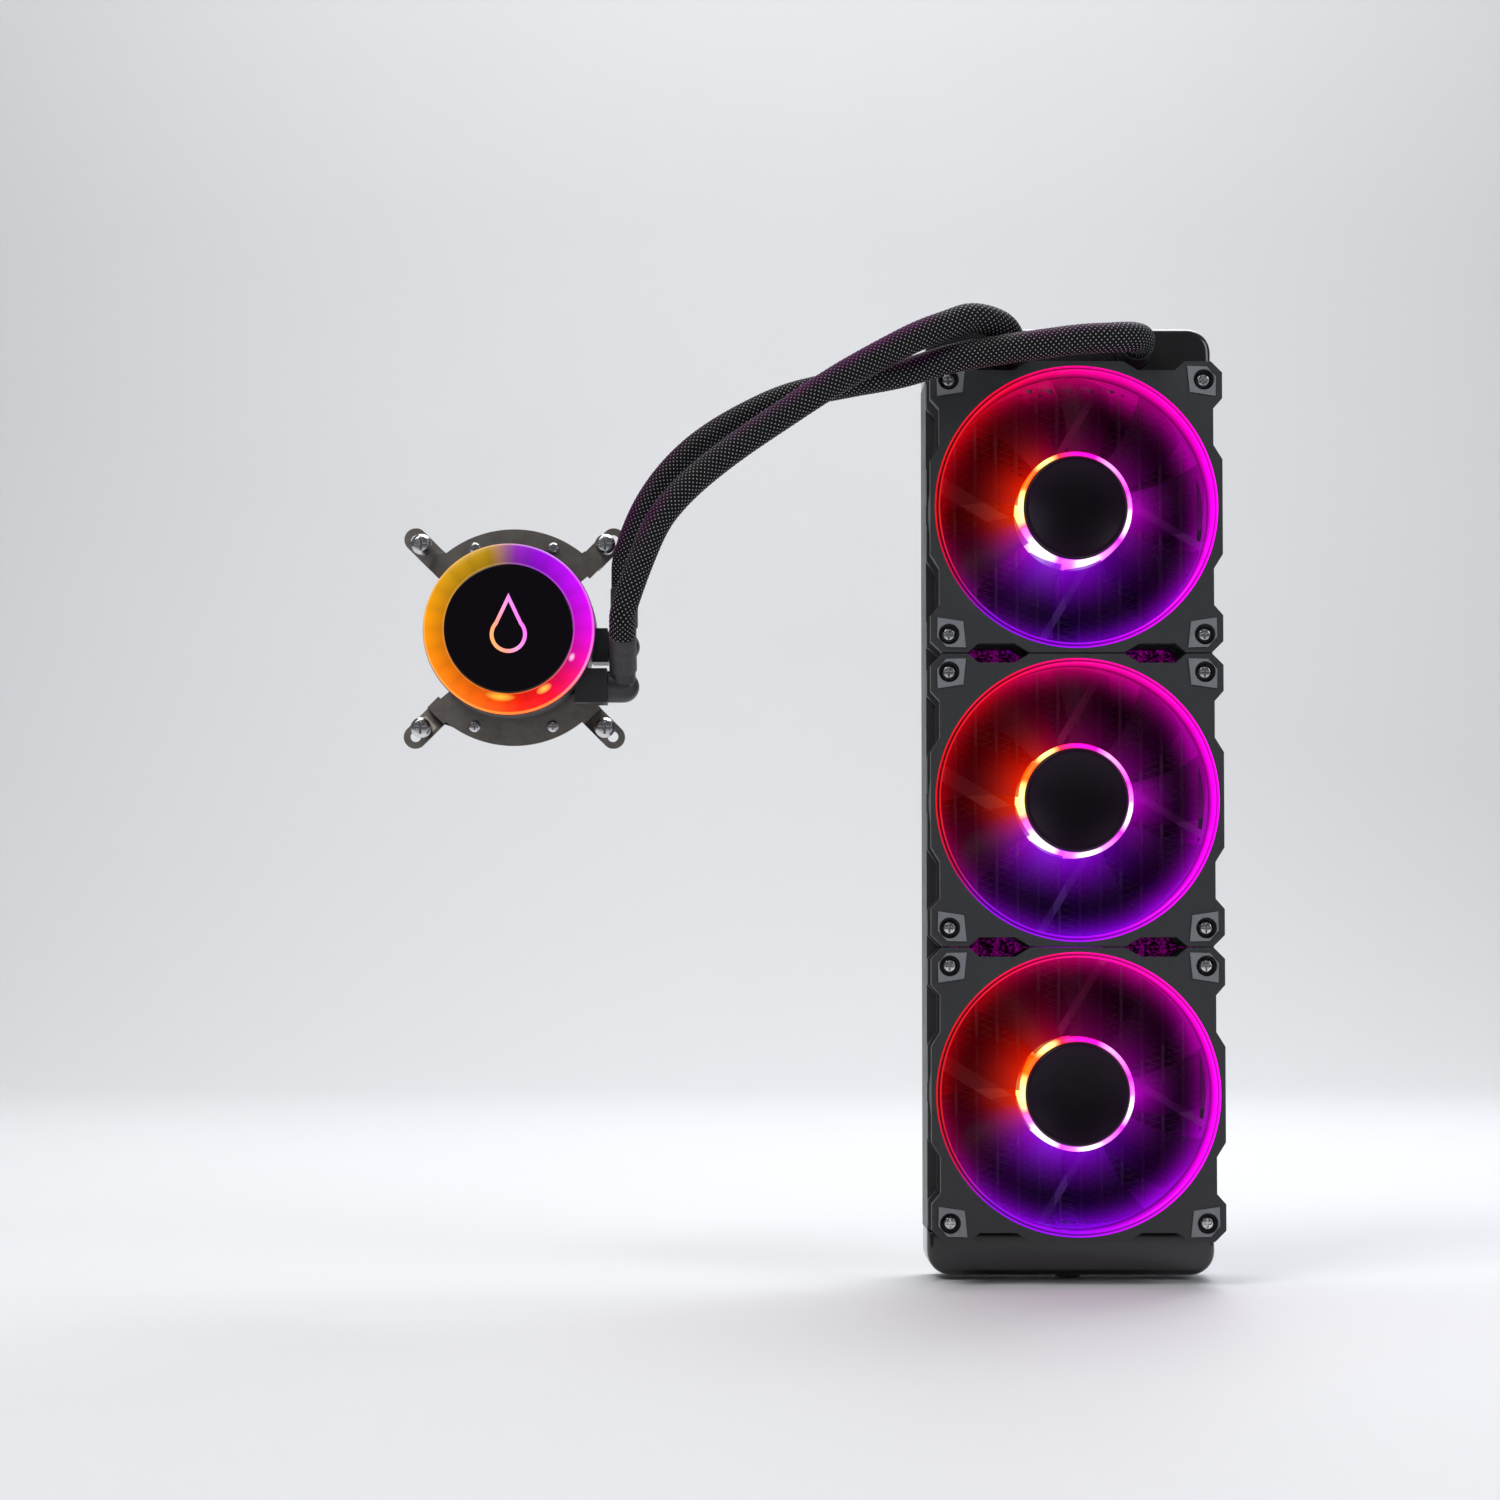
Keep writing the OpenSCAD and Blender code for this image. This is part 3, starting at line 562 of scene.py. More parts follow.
def bracket_steel():
    """Dull plated steel: mottled, and a little darker in its blotches."""
    colour = tuple(colours().bracket)
    f = Finish("bracket_steel", colour, 0.42, 0.85)
    blotch = f.noise(230.0, 4.0, 0.65)
    fine = f.noise(1700.0, 3.0)
    f.feed(Base_Color=f.mix(blotch.step(0.25, 0.75), shade(colour, 0.8),
                            shade(colour, 1.2)))
    f.feed(Roughness=0.34 + 0.26 * fine)
    f.bump(fine * 0.7 + blotch * 0.3, 0.00003)
    return f


def braided_sleeve():
    """Woven sleeve: filaments along each strand, painted glints on the crests with black between them,
    and painted magenta reflections in patches.
    """
    colour = tuple(colours().sleeve)
    f = Finish("braided_sleeve", colour, 0.36, **{"Specular IOR Level": 0.15})
    uv = f.add("ShaderNodeUVMap", {"uv_map": "weave"}).outputs[0]
    split = f.add("ShaderNodeSeparateXYZ", inputs={0: uv})
    round_way, along = (Signal(f, split.outputs[i]) for i in (0, 1))
    first = round_way + along
    second = round_way - along
    over = (first.floor() + second.floor()) % 2.0
    across = first.fract() * (1.0 - over) + second.fract() * over
    run = second.fract() * (1.0 - over) + first.fract() * over
    filaments = 0.5 + 0.5 * (across * (math.tau * 4.0)).sine()
    crest = (run * math.pi).sine() * (across * math.pi).sine()
    # Painted highlights: a silver base colour on the strand crests.
    glint = crest.step(0.8, 0.97) * (0.3 + 0.7 * filaments)
    # Painted reflections of the fans' magenta light, in patches on the side that faces up and to the
    # left.
    facing = f.add("ShaderNodeSeparateXYZ", inputs={
        0: f.add("ShaderNodeNewGeometry").outputs["Normal"]})
    right, up = (Signal(f, facing.outputs[i]) for i in (0, 2))
    lit_side = (0.72 * up - 0.55 * right).step(0.0, 0.6)
    reflection_patch = lit_side * f.noise(20.0, 2.0).step(0.36, 0.56)
    plain = f.mix(glint, shade(colour, 0.1), (0.74, 0.77, 0.83))
    painted_magenta_reflection = f.mix(glint, (0.016, 0.0005, 0.015), (0.9, 0.02, 0.78))
    f.feed(Base_Color=f.mix(reflection_patch, plain, painted_magenta_reflection))
    f.feed(Roughness=0.62 - 0.34 * glint)
    f.bump(filaments * 0.6 + crest * 0.4, 0.00008)
    return f


def heat_shrink():
    f = Finish("heat_shrink", (0.026, 0.026, 0.028), 0.5)
    wrinkle = f.stretched_noise((240.0, 240.0, 520.0), 3.0)
    f.feed(Base_Color=f.mix(wrinkle, (0.018, 0.018, 0.02), (0.045, 0.045, 0.048)))
    f.feed(Roughness=0.42 + 0.18 * f.noise(900.0))
    f.bump(wrinkle, 0.00018)
    return f


def moulded(slot, colour, roughness, grain_scale=1400.0, relief=0.00002):
    """Moulded plastic with a fine texture and faint handling marks."""
    f = Finish(slot, colour, roughness)
    grain = f.noise(grain_scale, 2.0)
    marks = f.noise(45.0, 3.0)
    f.feed(Base_Color=f.mix(grain, shade(colour, 0.85), shade(colour, 1.3)))
    f.feed(Roughness=(roughness - 0.1) + 0.12 * grain + 0.12 * marks)
    f.bump(grain, relief)
    return f


def pump_ring_light():
    """The pump head's ring: violet on one side, gold to red on the other, with painted shade on its
    inner part, a thin rim and inner line whitened as painted highlights, and three painted reflection
    spots.
    """
    f = Finish("pump_ring_light", (0.01, 0.006, 0.006), 0.2, **{"Specular IOR Level": 0.12})
    x, _, z = f.place()
    turn, radius = f.polar(x - PUMP.x, z - PUMP.z)
    colour = f.ramp(turn, [
        (0.0, (0.7, 0.0, 0.68)), (0.1, (0.5, 0.0, 0.85)), (0.19, (0.26, 0.0, 0.6)),
        (0.235, (0.25, 0.02, 0.42)), (0.262, (0.32, 0.14, 0.16)), (0.29, (0.42, 0.23, 0.004)),
        (0.38, (0.55, 0.28, 0.002)), (0.47, (0.8, 0.28, 0.0)), (0.6, (0.9, 0.2, 0.0)),
        (0.7, (0.95, 0.11, 0.0)), (0.775, (0.95, 0.012, 0.0)), (0.84, (0.9, 0.0, 0.02)),
        (0.9, (0.85, 0.0, 0.16)), (1.0, (0.7, 0.0, 0.68))])
    # The outer rim and the inner line are whitened below as painted highlights.
    rim = radius.step(0.0332, 0.0336) * (1.0 - radius.step(0.0339, 0.0342) * 0.5)
    # Painted shade: the ring's dome gets darker towards its inner edge.
    painted_dome_shade = 0.62 + 0.38 * radius.step(0.0262, 0.0325)
    inner_line = 1.0 - radius.step(0.0262, 0.0266)
    lamp = (turn * 24.0).fract() - 0.5
    spread = 1.0 - 0.12 * (lamp * lamp * 4.0)
    # Three painted reflection spots of the lamps, near the inner edge at the bottom and lower right.
    spots = []
    for spot_turn, spot_radius, half_turn, half_width in (
            (0.731, 0.0276, 0.036, 0.0018), (0.835, 0.0281, 0.02, 0.0017),
            (0.932, 0.0278, 0.011, 0.0012)):
        along, out = (turn - spot_turn) / half_turn, (radius - spot_radius) / half_width
        spots.append((1.0 - (along * along + out * out).root()).clamp() ** 0.8)
    painted_reflections = spots[0] + spots[1] + spots[2]
    painted_highlight_colour = f.ramp(turn, [
        (0.0, (1.0, 0.25, 0.8)), (0.18, (0.75, 0.25, 1.0)), (0.3, (1.0, 0.62, 0.2)),
        (0.6, (1.0, 0.5, 0.14)), (0.73, (1.0, 0.5, 0.04)), (0.85, (1.0, 0.56, 0.1)),
        (0.92, (1.0, 0.6, 0.85)), (1.0, (1.0, 0.25, 0.8))])
    lit = f.mix((rim * 0.42 + inner_line * 0.16 + painted_reflections).clamp(),
                brightness(f, colour, (painted_dome_shade * spread).clamp()), painted_highlight_colour)
    f.glow(lit, colours().pump_glow)
    f.feed(Roughness=0.16 + 0.1 * f.noise(200.0))
    return f


def emblem_light():
    """The lit drop: gold at its lower left, through white pink, to magenta at its right."""
    f = Finish("emblem_light", (0.2, 0.1, 0.15), 0.3)
    x, _, z = f.place()
    slope = ((x - PUMP.x) * 0.8 + (z - PUMP.z) * 0.25).step(-0.007, 0.007)
    f.glow(f.ramp(slope, [
        (0.0, (1.0, 0.4, 0.03)), (0.3, (1.0, 0.3, 0.2)), (0.55, (1.0, 0.3, 0.65)),
        (1.0, (0.85, 0.05, 0.9))]), 1.15)
    return f


def gloss_disc():
    f = Finish("gloss_disc", (0.003, 0.0015, 0.004), 0.07, **{
        "Specular IOR Level": 0.25, "Coat Weight": 0.25, "Coat Roughness": 0.02})
    f.feed(Roughness=0.05 + 0.07 * f.noise(80.0, 4.0))
    return f


def circuit_board():
    f = Finish("circuit_board", (0.01, 0.04, 0.02), 0.35)
    x, _, z = f.place()
    tracks = ((x * 1200.0).fract().above(0.7) + (z * 900.0).fract().above(0.8)).clamp()
    f.feed(Base_Color=f.mix(tracks, (0.008, 0.035, 0.018), (0.03, 0.11, 0.05)))
    f.bump(tracks, 0.00003)
    return f


def all_finishes():
    """Makes every finish."""
    for make in (
            ring_light, rotor_clear, hub_light, hub_cap, frame_plastic, pad_rubber, tank_paint,
            bracket_steel, braided_sleeve, heat_shrink, pump_ring_light, emblem_light,
            gloss_disc, circuit_board):
        make()
    satin_paint("black_steel", (0.02, 0.02, 0.022), 0.4)
    lit_core("fin_aluminium", (0.009, 0.008, 0.011), 0.5, 0.8, 0.5, 0.72)
    lit_core("black_aluminium", (0.01, 0.008, 0.012), 0.46, 0.75, 0.35, 0.75)
    satin_paint("dark_metal", (0.03, 0.03, 0.033), 0.33)
    metal("barb_metal", (0.66, 0.66, 0.66), 0.22)
    metal("screw_steel", (0.72, 0.72, 0.73), 0.2)
    metal("yoke_steel", (0.5, 0.5, 0.52), 0.34)
    metal("copper_winding", (0.6, 0.26, 0.1), 0.3, grain=(90.0, 3000.0, 90.0))
    metal("bearing_bronze", (0.55, 0.4, 0.2), 0.36)
    metal("copper_plate", (0.85, 0.42, 0.26), 0.16, 0.05, (90.0, 900.0, 2500.0))
    moulded("elbow_plastic", (0.02, 0.02, 0.022), 0.38)
    moulded("pump_plastic", (0.022, 0.021, 0.024), 0.34, 900.0, 0.00001)
    moulded("impeller_plastic", (0.6, 0.6, 0.56), 0.4)
    moulded("seal_rubber", (0.014, 0.014, 0.014), 0.6)


# ---- Meshes ----

SLOT_OF = {entry["node"]: entry["material_slot"] for entry in frame["record"]["subparts"]}
BODY_OF = {
    node: body
    for body, members in frame["record"]["behaviour"]["bodies"].items()
    for node in members
}


def piece(name, verts, faces, slot, body):
    """A mesh object from plain points and faces, in its finish and on its body."""
    mesh = bpy.data.meshes.new(name)
    mesh.from_pydata([tuple(v) for v in verts], [], faces)
    mesh.update()
    work = bmesh.new()
    work.from_mesh(mesh)
    bmesh.ops.recalc_face_normals(work, faces=work.faces)
    work.to_mesh(mesh)
    work.free()
    mesh.shade_smooth()
    mesh.set_sharp_from_angle(angle=math.radians(32))
    made = bpy.data.objects.new(name, mesh)
    bpy.context.scene.collection.objects.link(made)
    mesh.materials.append(FINISHES[slot])
    if body:
        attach(made, body)
    return made


def skin(rings, around, start=0, joined=False):
    """Faces over a run of rings of points, capped at its ends or joined end to end."""
    faces = []
    for i in range(rings if joined else rings - 1):
        p, q = start + i * around, start + (i + 1) % rings * around
        for k in range(around):
            m = (k + 1) % around
            faces.append((p + k, q + k, q + m, p + m))
    if not joined:
        last = start + (rings - 1) * around
        faces.append(tuple(range(start, start + around)))
        faces.append(tuple(reversed(range(last, last + around))))
    return faces


def turned(name, profile, centre, slot, body, steps=160):
    """A closed ring turned about the Y axis through centre; profile is (radius, y) round its section."""
    verts = []
    for i in range(steps):
        a = math.tau * i / steps
        verts += [(centre.x + r * math.cos(a), y, centre.z + r * math.sin(a)) for r, y in profile]
    return piece(name, verts, skin(steps, len(profile), joined=True), slot, body)


def arc(centre_r, centre_y, radius, start, stop, steps=5):
    """Points of a round corner in a (radius, y) section; angles in degrees."""
    turns = [math.radians(start + (stop - start) * i / steps) for i in range(steps + 1)]
    return [(centre_r + radius * math.cos(a), centre_y + radius * math.sin(a)) for a in turns]


def soft_disc(low, high):
    """Back, side and rounded front edge of a disc's section, which is left open at its face."""
    r = (high.x - low.x) / 2
    return [(0.0001, high.y), (r, high.y)] + arc(r - 0.0006, low.y + 0.0006, 0.0006, 0, -90, 5)


def softened(node, width=None, angle=28.0):
    """A copy of a CAD node with its edges broken, by the usual round if no width is given."""
    source = frame["nodes"][node]
    work = bmesh.new()
    work.from_mesh(source.data)
    bmesh.ops.remove_doubles(work, verts=work.verts, dist=2e-6)
    bmesh.ops.dissolve_limit(
        work, angle_limit=math.radians(0.4), use_dissolve_boundaries=False,
        verts=work.verts, edges=work.edges)
    mesh = bpy.data.meshes.new(node + "_shape")
    work.to_mesh(mesh)
    work.free()
    mesh.shade_smooth()
    mesh.set_sharp_from_angle(angle=math.radians(angle))
    made = bpy.data.objects.new(node + "_shape", mesh)
    bpy.context.scene.collection.objects.link(made)
    mesh.materials.append(FINISHES[SLOT_OF[node]])
    rounding = made.modifiers.new("broken_edges", "BEVEL")
    rounding.width = width or sizes().edge_round
    rounding.segments = 2
    rounding.limit_method = "ANGLE"
    rounding.angle_limit = math.radians(angle)
    rounding.harden_normals = True
    rounding.use_clamp_overlap = True
    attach(made, BODY_OF[node])
    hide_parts(node)
    return made


def smooth_route(points, spacing):
    """Evenly spaced points on a smooth curve through the route."""
    given = np.array(points)
    ends = np.vstack([2 * given[0] - given[1], given, 2 * given[-1] - given[-2]])
    dense = []
    for i in range(1, len(ends) - 2):
        a, b, c, d = ends[i - 1:i + 3]
        for t in np.linspace(0, 1, 40, endpoint=False):
            dense.append(0.5 * (2 * b + (c - a) * t + (2 * a - 5 * b + 4 * c - d) * t ** 2
                                + (3 * b - a - 3 * c + d) * t ** 3))
    dense.append(given[-1])
    dense = np.array(dense)
    # Round off what little unevenness the given points leave
    for _ in range(60):
        dense[1:-1] += 0.5 * (0.5 * (dense[:-2] + dense[2:]) - dense[1:-1])
    reach = np.concatenate([[0], np.cumsum(np.linalg.norm(np.diff(dense, axis=0), axis=1))])
    wanted = np.linspace(0, reach[-1], int(reach[-1] / spacing) + 1)
    return np.stack([np.interp(wanted, reach, dense[:, k]) for k in range(3)], axis=1), reach[-1]


def moving_axes(path):
    """Two unit vectors across the path at each point, carried along without twist."""
    ahead = np.gradient(path, axis=0)
    ahead /= np.linalg.norm(ahead, axis=1)[:, None]
    side = np.cross(ahead[0], (0.0, 0.0, 1.0))
    sides = []
    for t in ahead:
        side = side - t * np.dot(side, t)
        side = side / np.linalg.norm(side)
        sides.append(side)
    sides = np.array(sides)
    return sides, np.cross(ahead, sides)


def woven_tube(name, route):
    """A sleeved hose: a tube whose surface is the over-and-under of its braid, with closed ends."""
    s = sizes()
    ring_step, around = 0.00042, 64
    path, length = smooth_route(route, ring_step)
    first_axis, second_axis = moving_axes(path)
    n = len(path)
    along = np.arange(n) * (length / (n - 1)) / s.braid_pitch
    turn = np.arange(around) / around
    base = np.interp(np.linspace(0, 1, n), [0, 1], [s.hose_radius, s.hose_end_radius])
    p = turn[None, :] * s.braid_carriers + along[:, None]
    q = turn[None, :] * s.braid_carriers - along[:, None]
    over = (np.floor(p) + np.floor(q)) % 2 == 0
    across = np.where(over, p, q) % 1.0
    run = np.where(over, q, p) % 1.0
    lift = np.sqrt(np.sin(np.pi * across)) * (0.3 + 0.7 * np.sin(np.pi * run))
    radius = base[:, None] - s.strand_lift * (1.0 - lift)
    a = math.tau * turn
    ring = (first_axis[:, None, :] * np.cos(a)[None, :, None]
            + second_axis[:, None, :] * np.sin(a)[None, :, None])
    verts = (path[:, None, :] + ring * radius[:, :, None]).reshape(-1, 3)
    made = piece(name, verts, skin(n, around), "braided_sleeve", None)
    weave = made.data.uv_layers.new(name="weave")
    values = np.zeros((len(made.data.loops), 2), dtype=np.float32)
    for face in made.data.polygons:
        if len(face.vertices) > 4:
            continue
        columns = [made.data.loops[l].vertex_index % around for l in face.loop_indices]
        wraps = max(columns) - min(columns) > 1
        for l, column in zip(face.loop_indices, columns):
            ring_index = made.data.loops[l].vertex_index // around
            where = column + around if wraps and column == 0 else column
            values[l] = (where / around * s.braid_carriers, along[ring_index])
    weave.data.foreach_set("uv", values.ravel())
    return made, path, length


# ---- Hoses ----

# Each hose's node, its route and the body that its far end rides on
HOSES = (
    ("hose_front", HOSE_FRONT_ROUTE, "lower_elbow"),
    ("hose_rear", HOSE_REAR_ROUTE, "upper_elbow"),
)


def build_hoses():
    for node, route, elbow in HOSES:
        sleeve, path, length = woven_tube(node + "_sleeve", route)
        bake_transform(sleeve)
        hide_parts(node)
        path[::12].tolist() + [path[-1].tolist()]


# ---- Radiator ----

def tank_outline(width, height, inset):
    """Corner-rounded outline from (x, z) = the header edge outward; always the same number of points."""
    w = width / 2 - inset
    top = height - inset
    r = max(0.01 - inset, 0.0005)
    turn_steps = 8
    points = [(-w, inset), (w, inset)]
    for i in range(turn_steps + 1):
        a = math.pi / 2 * i / turn_steps
        points.append((w - r + r * math.cos(a), top - r + r * math.sin(a)))
    for i in range(turn_steps + 1):
        a = math.pi / 2 + math.pi / 2 * i / turn_steps
        points.append((-w + r + r * math.cos(a), top - r + r * math.sin(a)))
    return points


def tank(node):
    """End tank with rounded edges all round, pressed from sheet."""
    low, high = corners(node)
    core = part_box("side_rails")
    up = 1 if node == "top_tank" else -1
    root_z = core[1][2] if up > 0 else core[0][2]
    height = abs((high.z if up > 0 else low.z) - root_z)
    fillet = sizes().tank_fillet
    front, back = core[0][1], core[1][1]
    steps = 6
    rings = []
    for i in range(steps + 1):
        a = math.pi / 2 * i / steps
        rings.append((fillet * (1 - math.sin(a)), front + fillet * (1 - math.cos(a))))
    rings += [(inset, front + back - y) for inset, y in reversed(rings)]
    verts = []
    for inset, y in rings:
        for x, out in tank_outline(high.x - low.x, height, inset):
            verts.append((x, y, root_z + up * out))
    faces = skin(len(rings), len(verts) // len(rings))
    made = piece(node + "_shell", verts, faces, "black_gloss_tank", "root")
    made.data.set_sharp_from_angle(angle=math.radians(50))
    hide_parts(node)


def barb_bosses():
    """Raised rings that the hose barbs are brazed into."""
    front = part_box("side_rails")[0][1]
    for name, route in (("left", HOSE_FRONT_ROUTE), ("right", HOSE_REAR_ROUTE)):
        centre = Vector((route[0][0], 0.0, route[0][2]))
        section = ([(0.0048, front + 0.0004), (0.0082, front + 0.0004)]
                   + arc(0.0070, front - 0.0013, 0.0007, 0, -90, 4) + [(0.0048, front - 0.002)])
        turned("barb_boss_" + name, section, centre, "black_gloss_tank", "root", 64)


def folded_fins():
    """Fin strips between the water tubes, folded in close round waves."""
    s = sizes()
    low, high = corners("cooling_fins")
    tube_low, tube_high = corners("water_tubes")
    tube_half = 0.001
    tubes = 12
    pitch = (tube_high.x - tube_low.x - 2 * tube_half) / (tubes - 1)
    centres = [tube_low.x + tube_half + pitch * i for i in range(tubes)]
    gaps = [(low.x, centres[0] - tube_half)]
    gaps += [(c + tube_half, c + pitch - tube_half) for c in centres[:-1]]
    gaps += [(centres[-1] + tube_half, high.x)]
    steps = 8
    reach = high.z - low.z - s.fin_fold * 0.1
    folds = int(reach / s.fin_fold)
    t = np.arange(folds * steps + 1) / steps
    z = low.z + reach * t / folds
    sway = np.clip(1.18 * np.sin(math.tau * t), -1, 1)
    lag = 0.16 * s.fin_fold * np.sin(2 * math.tau * t)
    depths = np.linspace(low.y, high.y, 5)
    rise = s.fin_wave * np.array([-0.5, 0.5, -0.5, 0.5, -0.5])
    # The waves flatten towards both ends of the strip, so that no gap opens there
    fade = np.clip(np.minimum(t, folds - t) / 0.6, 0.0, 1.0)
    verts, faces = [], []
    for x0, x1 in gaps:
        half = (x1 - x0 - s.fin_skin) / 2
        line = np.stack([(x0 + x1) / 2 + half * sway, z + lag], axis=1)
        slope = np.gradient(line, axis=0)
        normal = np.stack([-slope[:, 1], slope[:, 0]], axis=1)
        normal /= np.linalg.norm(normal, axis=1)[:, None]
        sides = [line + normal * s.fin_skin / 2, line - normal * s.fin_skin / 2]
        for side in sides:
            side[:, 0] = np.clip(side[:, 0], x0, x1)
        start = len(verts)
        around = ([(sides[0], k) for k in range(5)] + [(sides[1], k) for k in range(4, -1, -1)])
        for i in range(len(line)):
            verts += [(side[i, 0], depths[k], float(np.clip(side[i, 1] + fade[i] * rise[k],
                                                            low.z, high.z))) for side, k in around]
        faces += skin(len(line), len(around), start)
    made = piece("folded_fins", verts, faces, "fin_aluminium", "root")
    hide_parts("cooling_fins")


def build_radiator():
    tank("top_tank")
    tank("bottom_tank")
    barb_bosses()
    folded_fins()
    for node, width in (("side_rails", None), ("fill_plug", 0.0002), ("hose_ferrules", None),
                        ("header_plates", 0.0001)):
        softened(node, width)


# ---- Fans ----

def light_ring_profile():
    """Section of a light ring: rim, dark line, lip and the lit duct wall behind."""
    low, high = corners("middle_fan_light_ring")
    outer = (high.x - low.x) / 2
    front, back = low.y, high.y
    lip = outer - 0.0013
    wall = outer - 0.0022
    return ([(outer, back), (outer, front + 0.0003)]
            + arc(outer - 0.0003, front + 0.0003, 0.0003, 0, -90, 3)
            + [(outer - 0.0006, front), (outer - 0.00065, front + 0.0005),
               (lip + 0.00005, front + 0.0005), (lip, front)]
            + arc(wall + 0.0005, front + 0.0005, 0.0005, -90, -180, 4)
            + [(wall, front + 0.004), (wall, back)])


def blade_section(radius):
    """Closed curve of one blade at a radius, as (distance round, y) points."""
    s = sizes()
    t = (radius - BLADE_ROOT) / (BLADE_TIP - BLADE_ROOT)
    chord = 0.0185 + 0.0135 * t - 0.003 * t * t
    pitch = math.radians(43 - 17 * t)
    camber = 0.075 * chord
    thick = s.blade_skin * (1 - 0.45 * t)
    sweep = 0.0085 * t * t - 0.002 * t
    steps = 9
    front, back = [], []
    for i in range(steps + 1):
        u = 0.5 - 0.5 * math.cos(math.pi * i / steps)
        rise = camber * 4 * u * (1 - u)
        half = thick * (math.sqrt(max(u * (1 - u), 0)) * 0.9 + 0.05)
        front.append(((u - 0.5) * chord, rise + half / 2))
        back.append(((u - 0.5) * chord, rise - half / 2))
    loop = front + back[::-1]
    c, d = math.cos(pitch), math.sin(pitch)
    return [(a * c - b * d + sweep, a * d + b * c) for a, b in loop]


def rotor_blades(fan):
    """The rotor's swept and twisted blades, fused to the hub's wall."""
    centre = FAN_CENTRES[fan]
    low, high = corners(fan + "_fan_rotor")
    mid_y = (low.y + high.y) / 2 + 0.0004
    stations = 10
    verts, faces = [], []
    count = sizes().blade_count
    for b in range(count):
        start = len(verts)
        for i in range(stations):
            radius = BLADE_ROOT + (BLADE_TIP - BLADE_ROOT) * i / (stations - 1)
            for around, y in blade_section(radius):
                a = math.tau * b / count + around / radius
                verts.append((centre.x + radius * math.cos(a), mid_y - y,
                              centre.z + radius * math.sin(a)))
        faces += skin(stations, (len(verts) - start) // stations, start)
    made = piece(fan + "_fan_blades", verts, faces, "smoky_clear_plastic", fan + "_rotor")
    made.data.set_sharp_from_angle(angle=math.radians(60))
    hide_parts(fan + "_fan_rotor")


def hub_wall(fan):
    """The lit cup that the blades stand on, open at the back."""
    centre = FAN_CENTRES[fan]
    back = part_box(fan + "_fan_rotor")[1][1]
    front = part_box(fan + "_fan_hub_cap")[1][1]
    outer, inner = HUB_OUTER, HUB_INNER
    section = ([(inner, back), (outer, back), (outer, front + 0.0018)]
               + arc(outer - 0.0016, front + 0.0016, 0.0016, 0, -90, 6)
               + [(0.0002, front), (0.0002, front + 0.0016), (inner, front + 0.0018)])
    made = turned(fan + "_fan_hub_wall", section, centre, "hub_light", fan + "_rotor", 128)
    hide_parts(fan + "_fan_rotor")


def hub_disc(fan):
    """Black cap on the hub, with a soft edge and a shallow step."""
    node = fan + "_fan_hub_cap"
    low, high = corners(node)
    r = (high.x - low.x) / 2
    section = soft_disc(low, high) + [
        (r - 0.0016, low.y), (r - 0.0018, low.y + 0.00012), (0.0001, low.y + 0.00012)]
    made = turned(fan + "_fan_hub_disc", section, FAN_CENTRES[fan], "cap_black", fan + "_rotor", 128)
    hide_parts(node)


def build_fans():
    for fan in FANS:
        softened(fan + "_fan_frame", 0.0004)
        softened(fan + "_fan_corner_pads")
        ring = turned(fan + "_fan_ring", light_ring_profile(), FAN_CENTRES[fan], "ring_light",
                      "root", 192)
        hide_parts(fan + "_fan_light_ring")
        rotor_blades(fan)
        hub_wall(fan)
        hub_disc(fan)


# ---- Pump head ----

def build_pump_head():
    for node, width in (("pump_housing", 0.0006), ("pump_base", 0.0004), ("port_block", 0.0007),
                        ("cold_plate", 0.0002), ("lower_elbow", None), ("upper_elbow", None),
                        ("lower_hose_collar", None), ("upper_hose_collar", None)):
        softened(node, width)
    low, high = corners("pump_light_ring")
    outer = (high.x - low.x) / 2
    shoulder = outer - 0.0018
    inner = 0.0259
    front = low.y
    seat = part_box("pump_housing")[0][1]
    section = ([(inner, high.y), (shoulder, high.y), (shoulder, seat), (outer, seat)]
               + arc(outer - 0.0016, front + 0.0022, 0.0016, 0, -70, 6)
               + [(outer - 0.0024, front + 0.0003), (outer - 0.0035, front + 0.0001),
                  (0.0300, front), (0.0275, front + 0.0003)]
               + arc(inner + 0.0005, front + 0.0009, 0.0005, -90, -180, 3))
    ring = turned("pump_ring", section, PUMP, "pump_ring_light", "root", 192)
    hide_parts("pump_light_ring")
    low, high = corners("face_disc")
    section = soft_disc(low, high) + [(0.0001, low.y)]
    disc = turned("face_disc_gloss", section, PUMP, "gloss_disc", "root", 192)
    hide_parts("face_disc")


# ---- Bracket and fasteners ----

def spring_coils():
    """The four springs under the mounting screws' heads."""
    low, high = corners("mount_springs")
    wire, coil, turns = 0.00045, 0.0030, 6
    per_turn, sides = 28, 8
    length = high.y - low.y - 2 * wire
    spring = 0.0035
    centres = [(x, z) for x in (low.x + spring, high.x - spring)
               for z in (low.z + spring, high.z - spring)]
    verts, faces = [], []
    for cx, cz in centres:
        start = len(verts)
        n = turns * per_turn + 1
        for i in range(n):
            a = math.tau * i / per_turn
            y = low.y + wire + length * min(max((i / per_turn - 0.5) / (turns - 1), 0), 1)
            for k in range(sides):
                b = math.tau * k / sides
                r = coil + wire * math.cos(b)
                verts.append((cx + r * math.cos(a), y + wire * math.sin(b), cz + r * math.sin(a)))
        faces += skin(n, sides, start)
    made = piece("spring_coils", verts, faces, "screw_steel", "root")
    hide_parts("mount_springs")


def build_bracket():
    softened("upper_bracket")
    softened("lower_bracket")
    spring_coils()


def build_fasteners():
    for node in ("fan_screws", "mount_screws", "bracket_screws"):
        softened(node, 0.0002, 24.0)


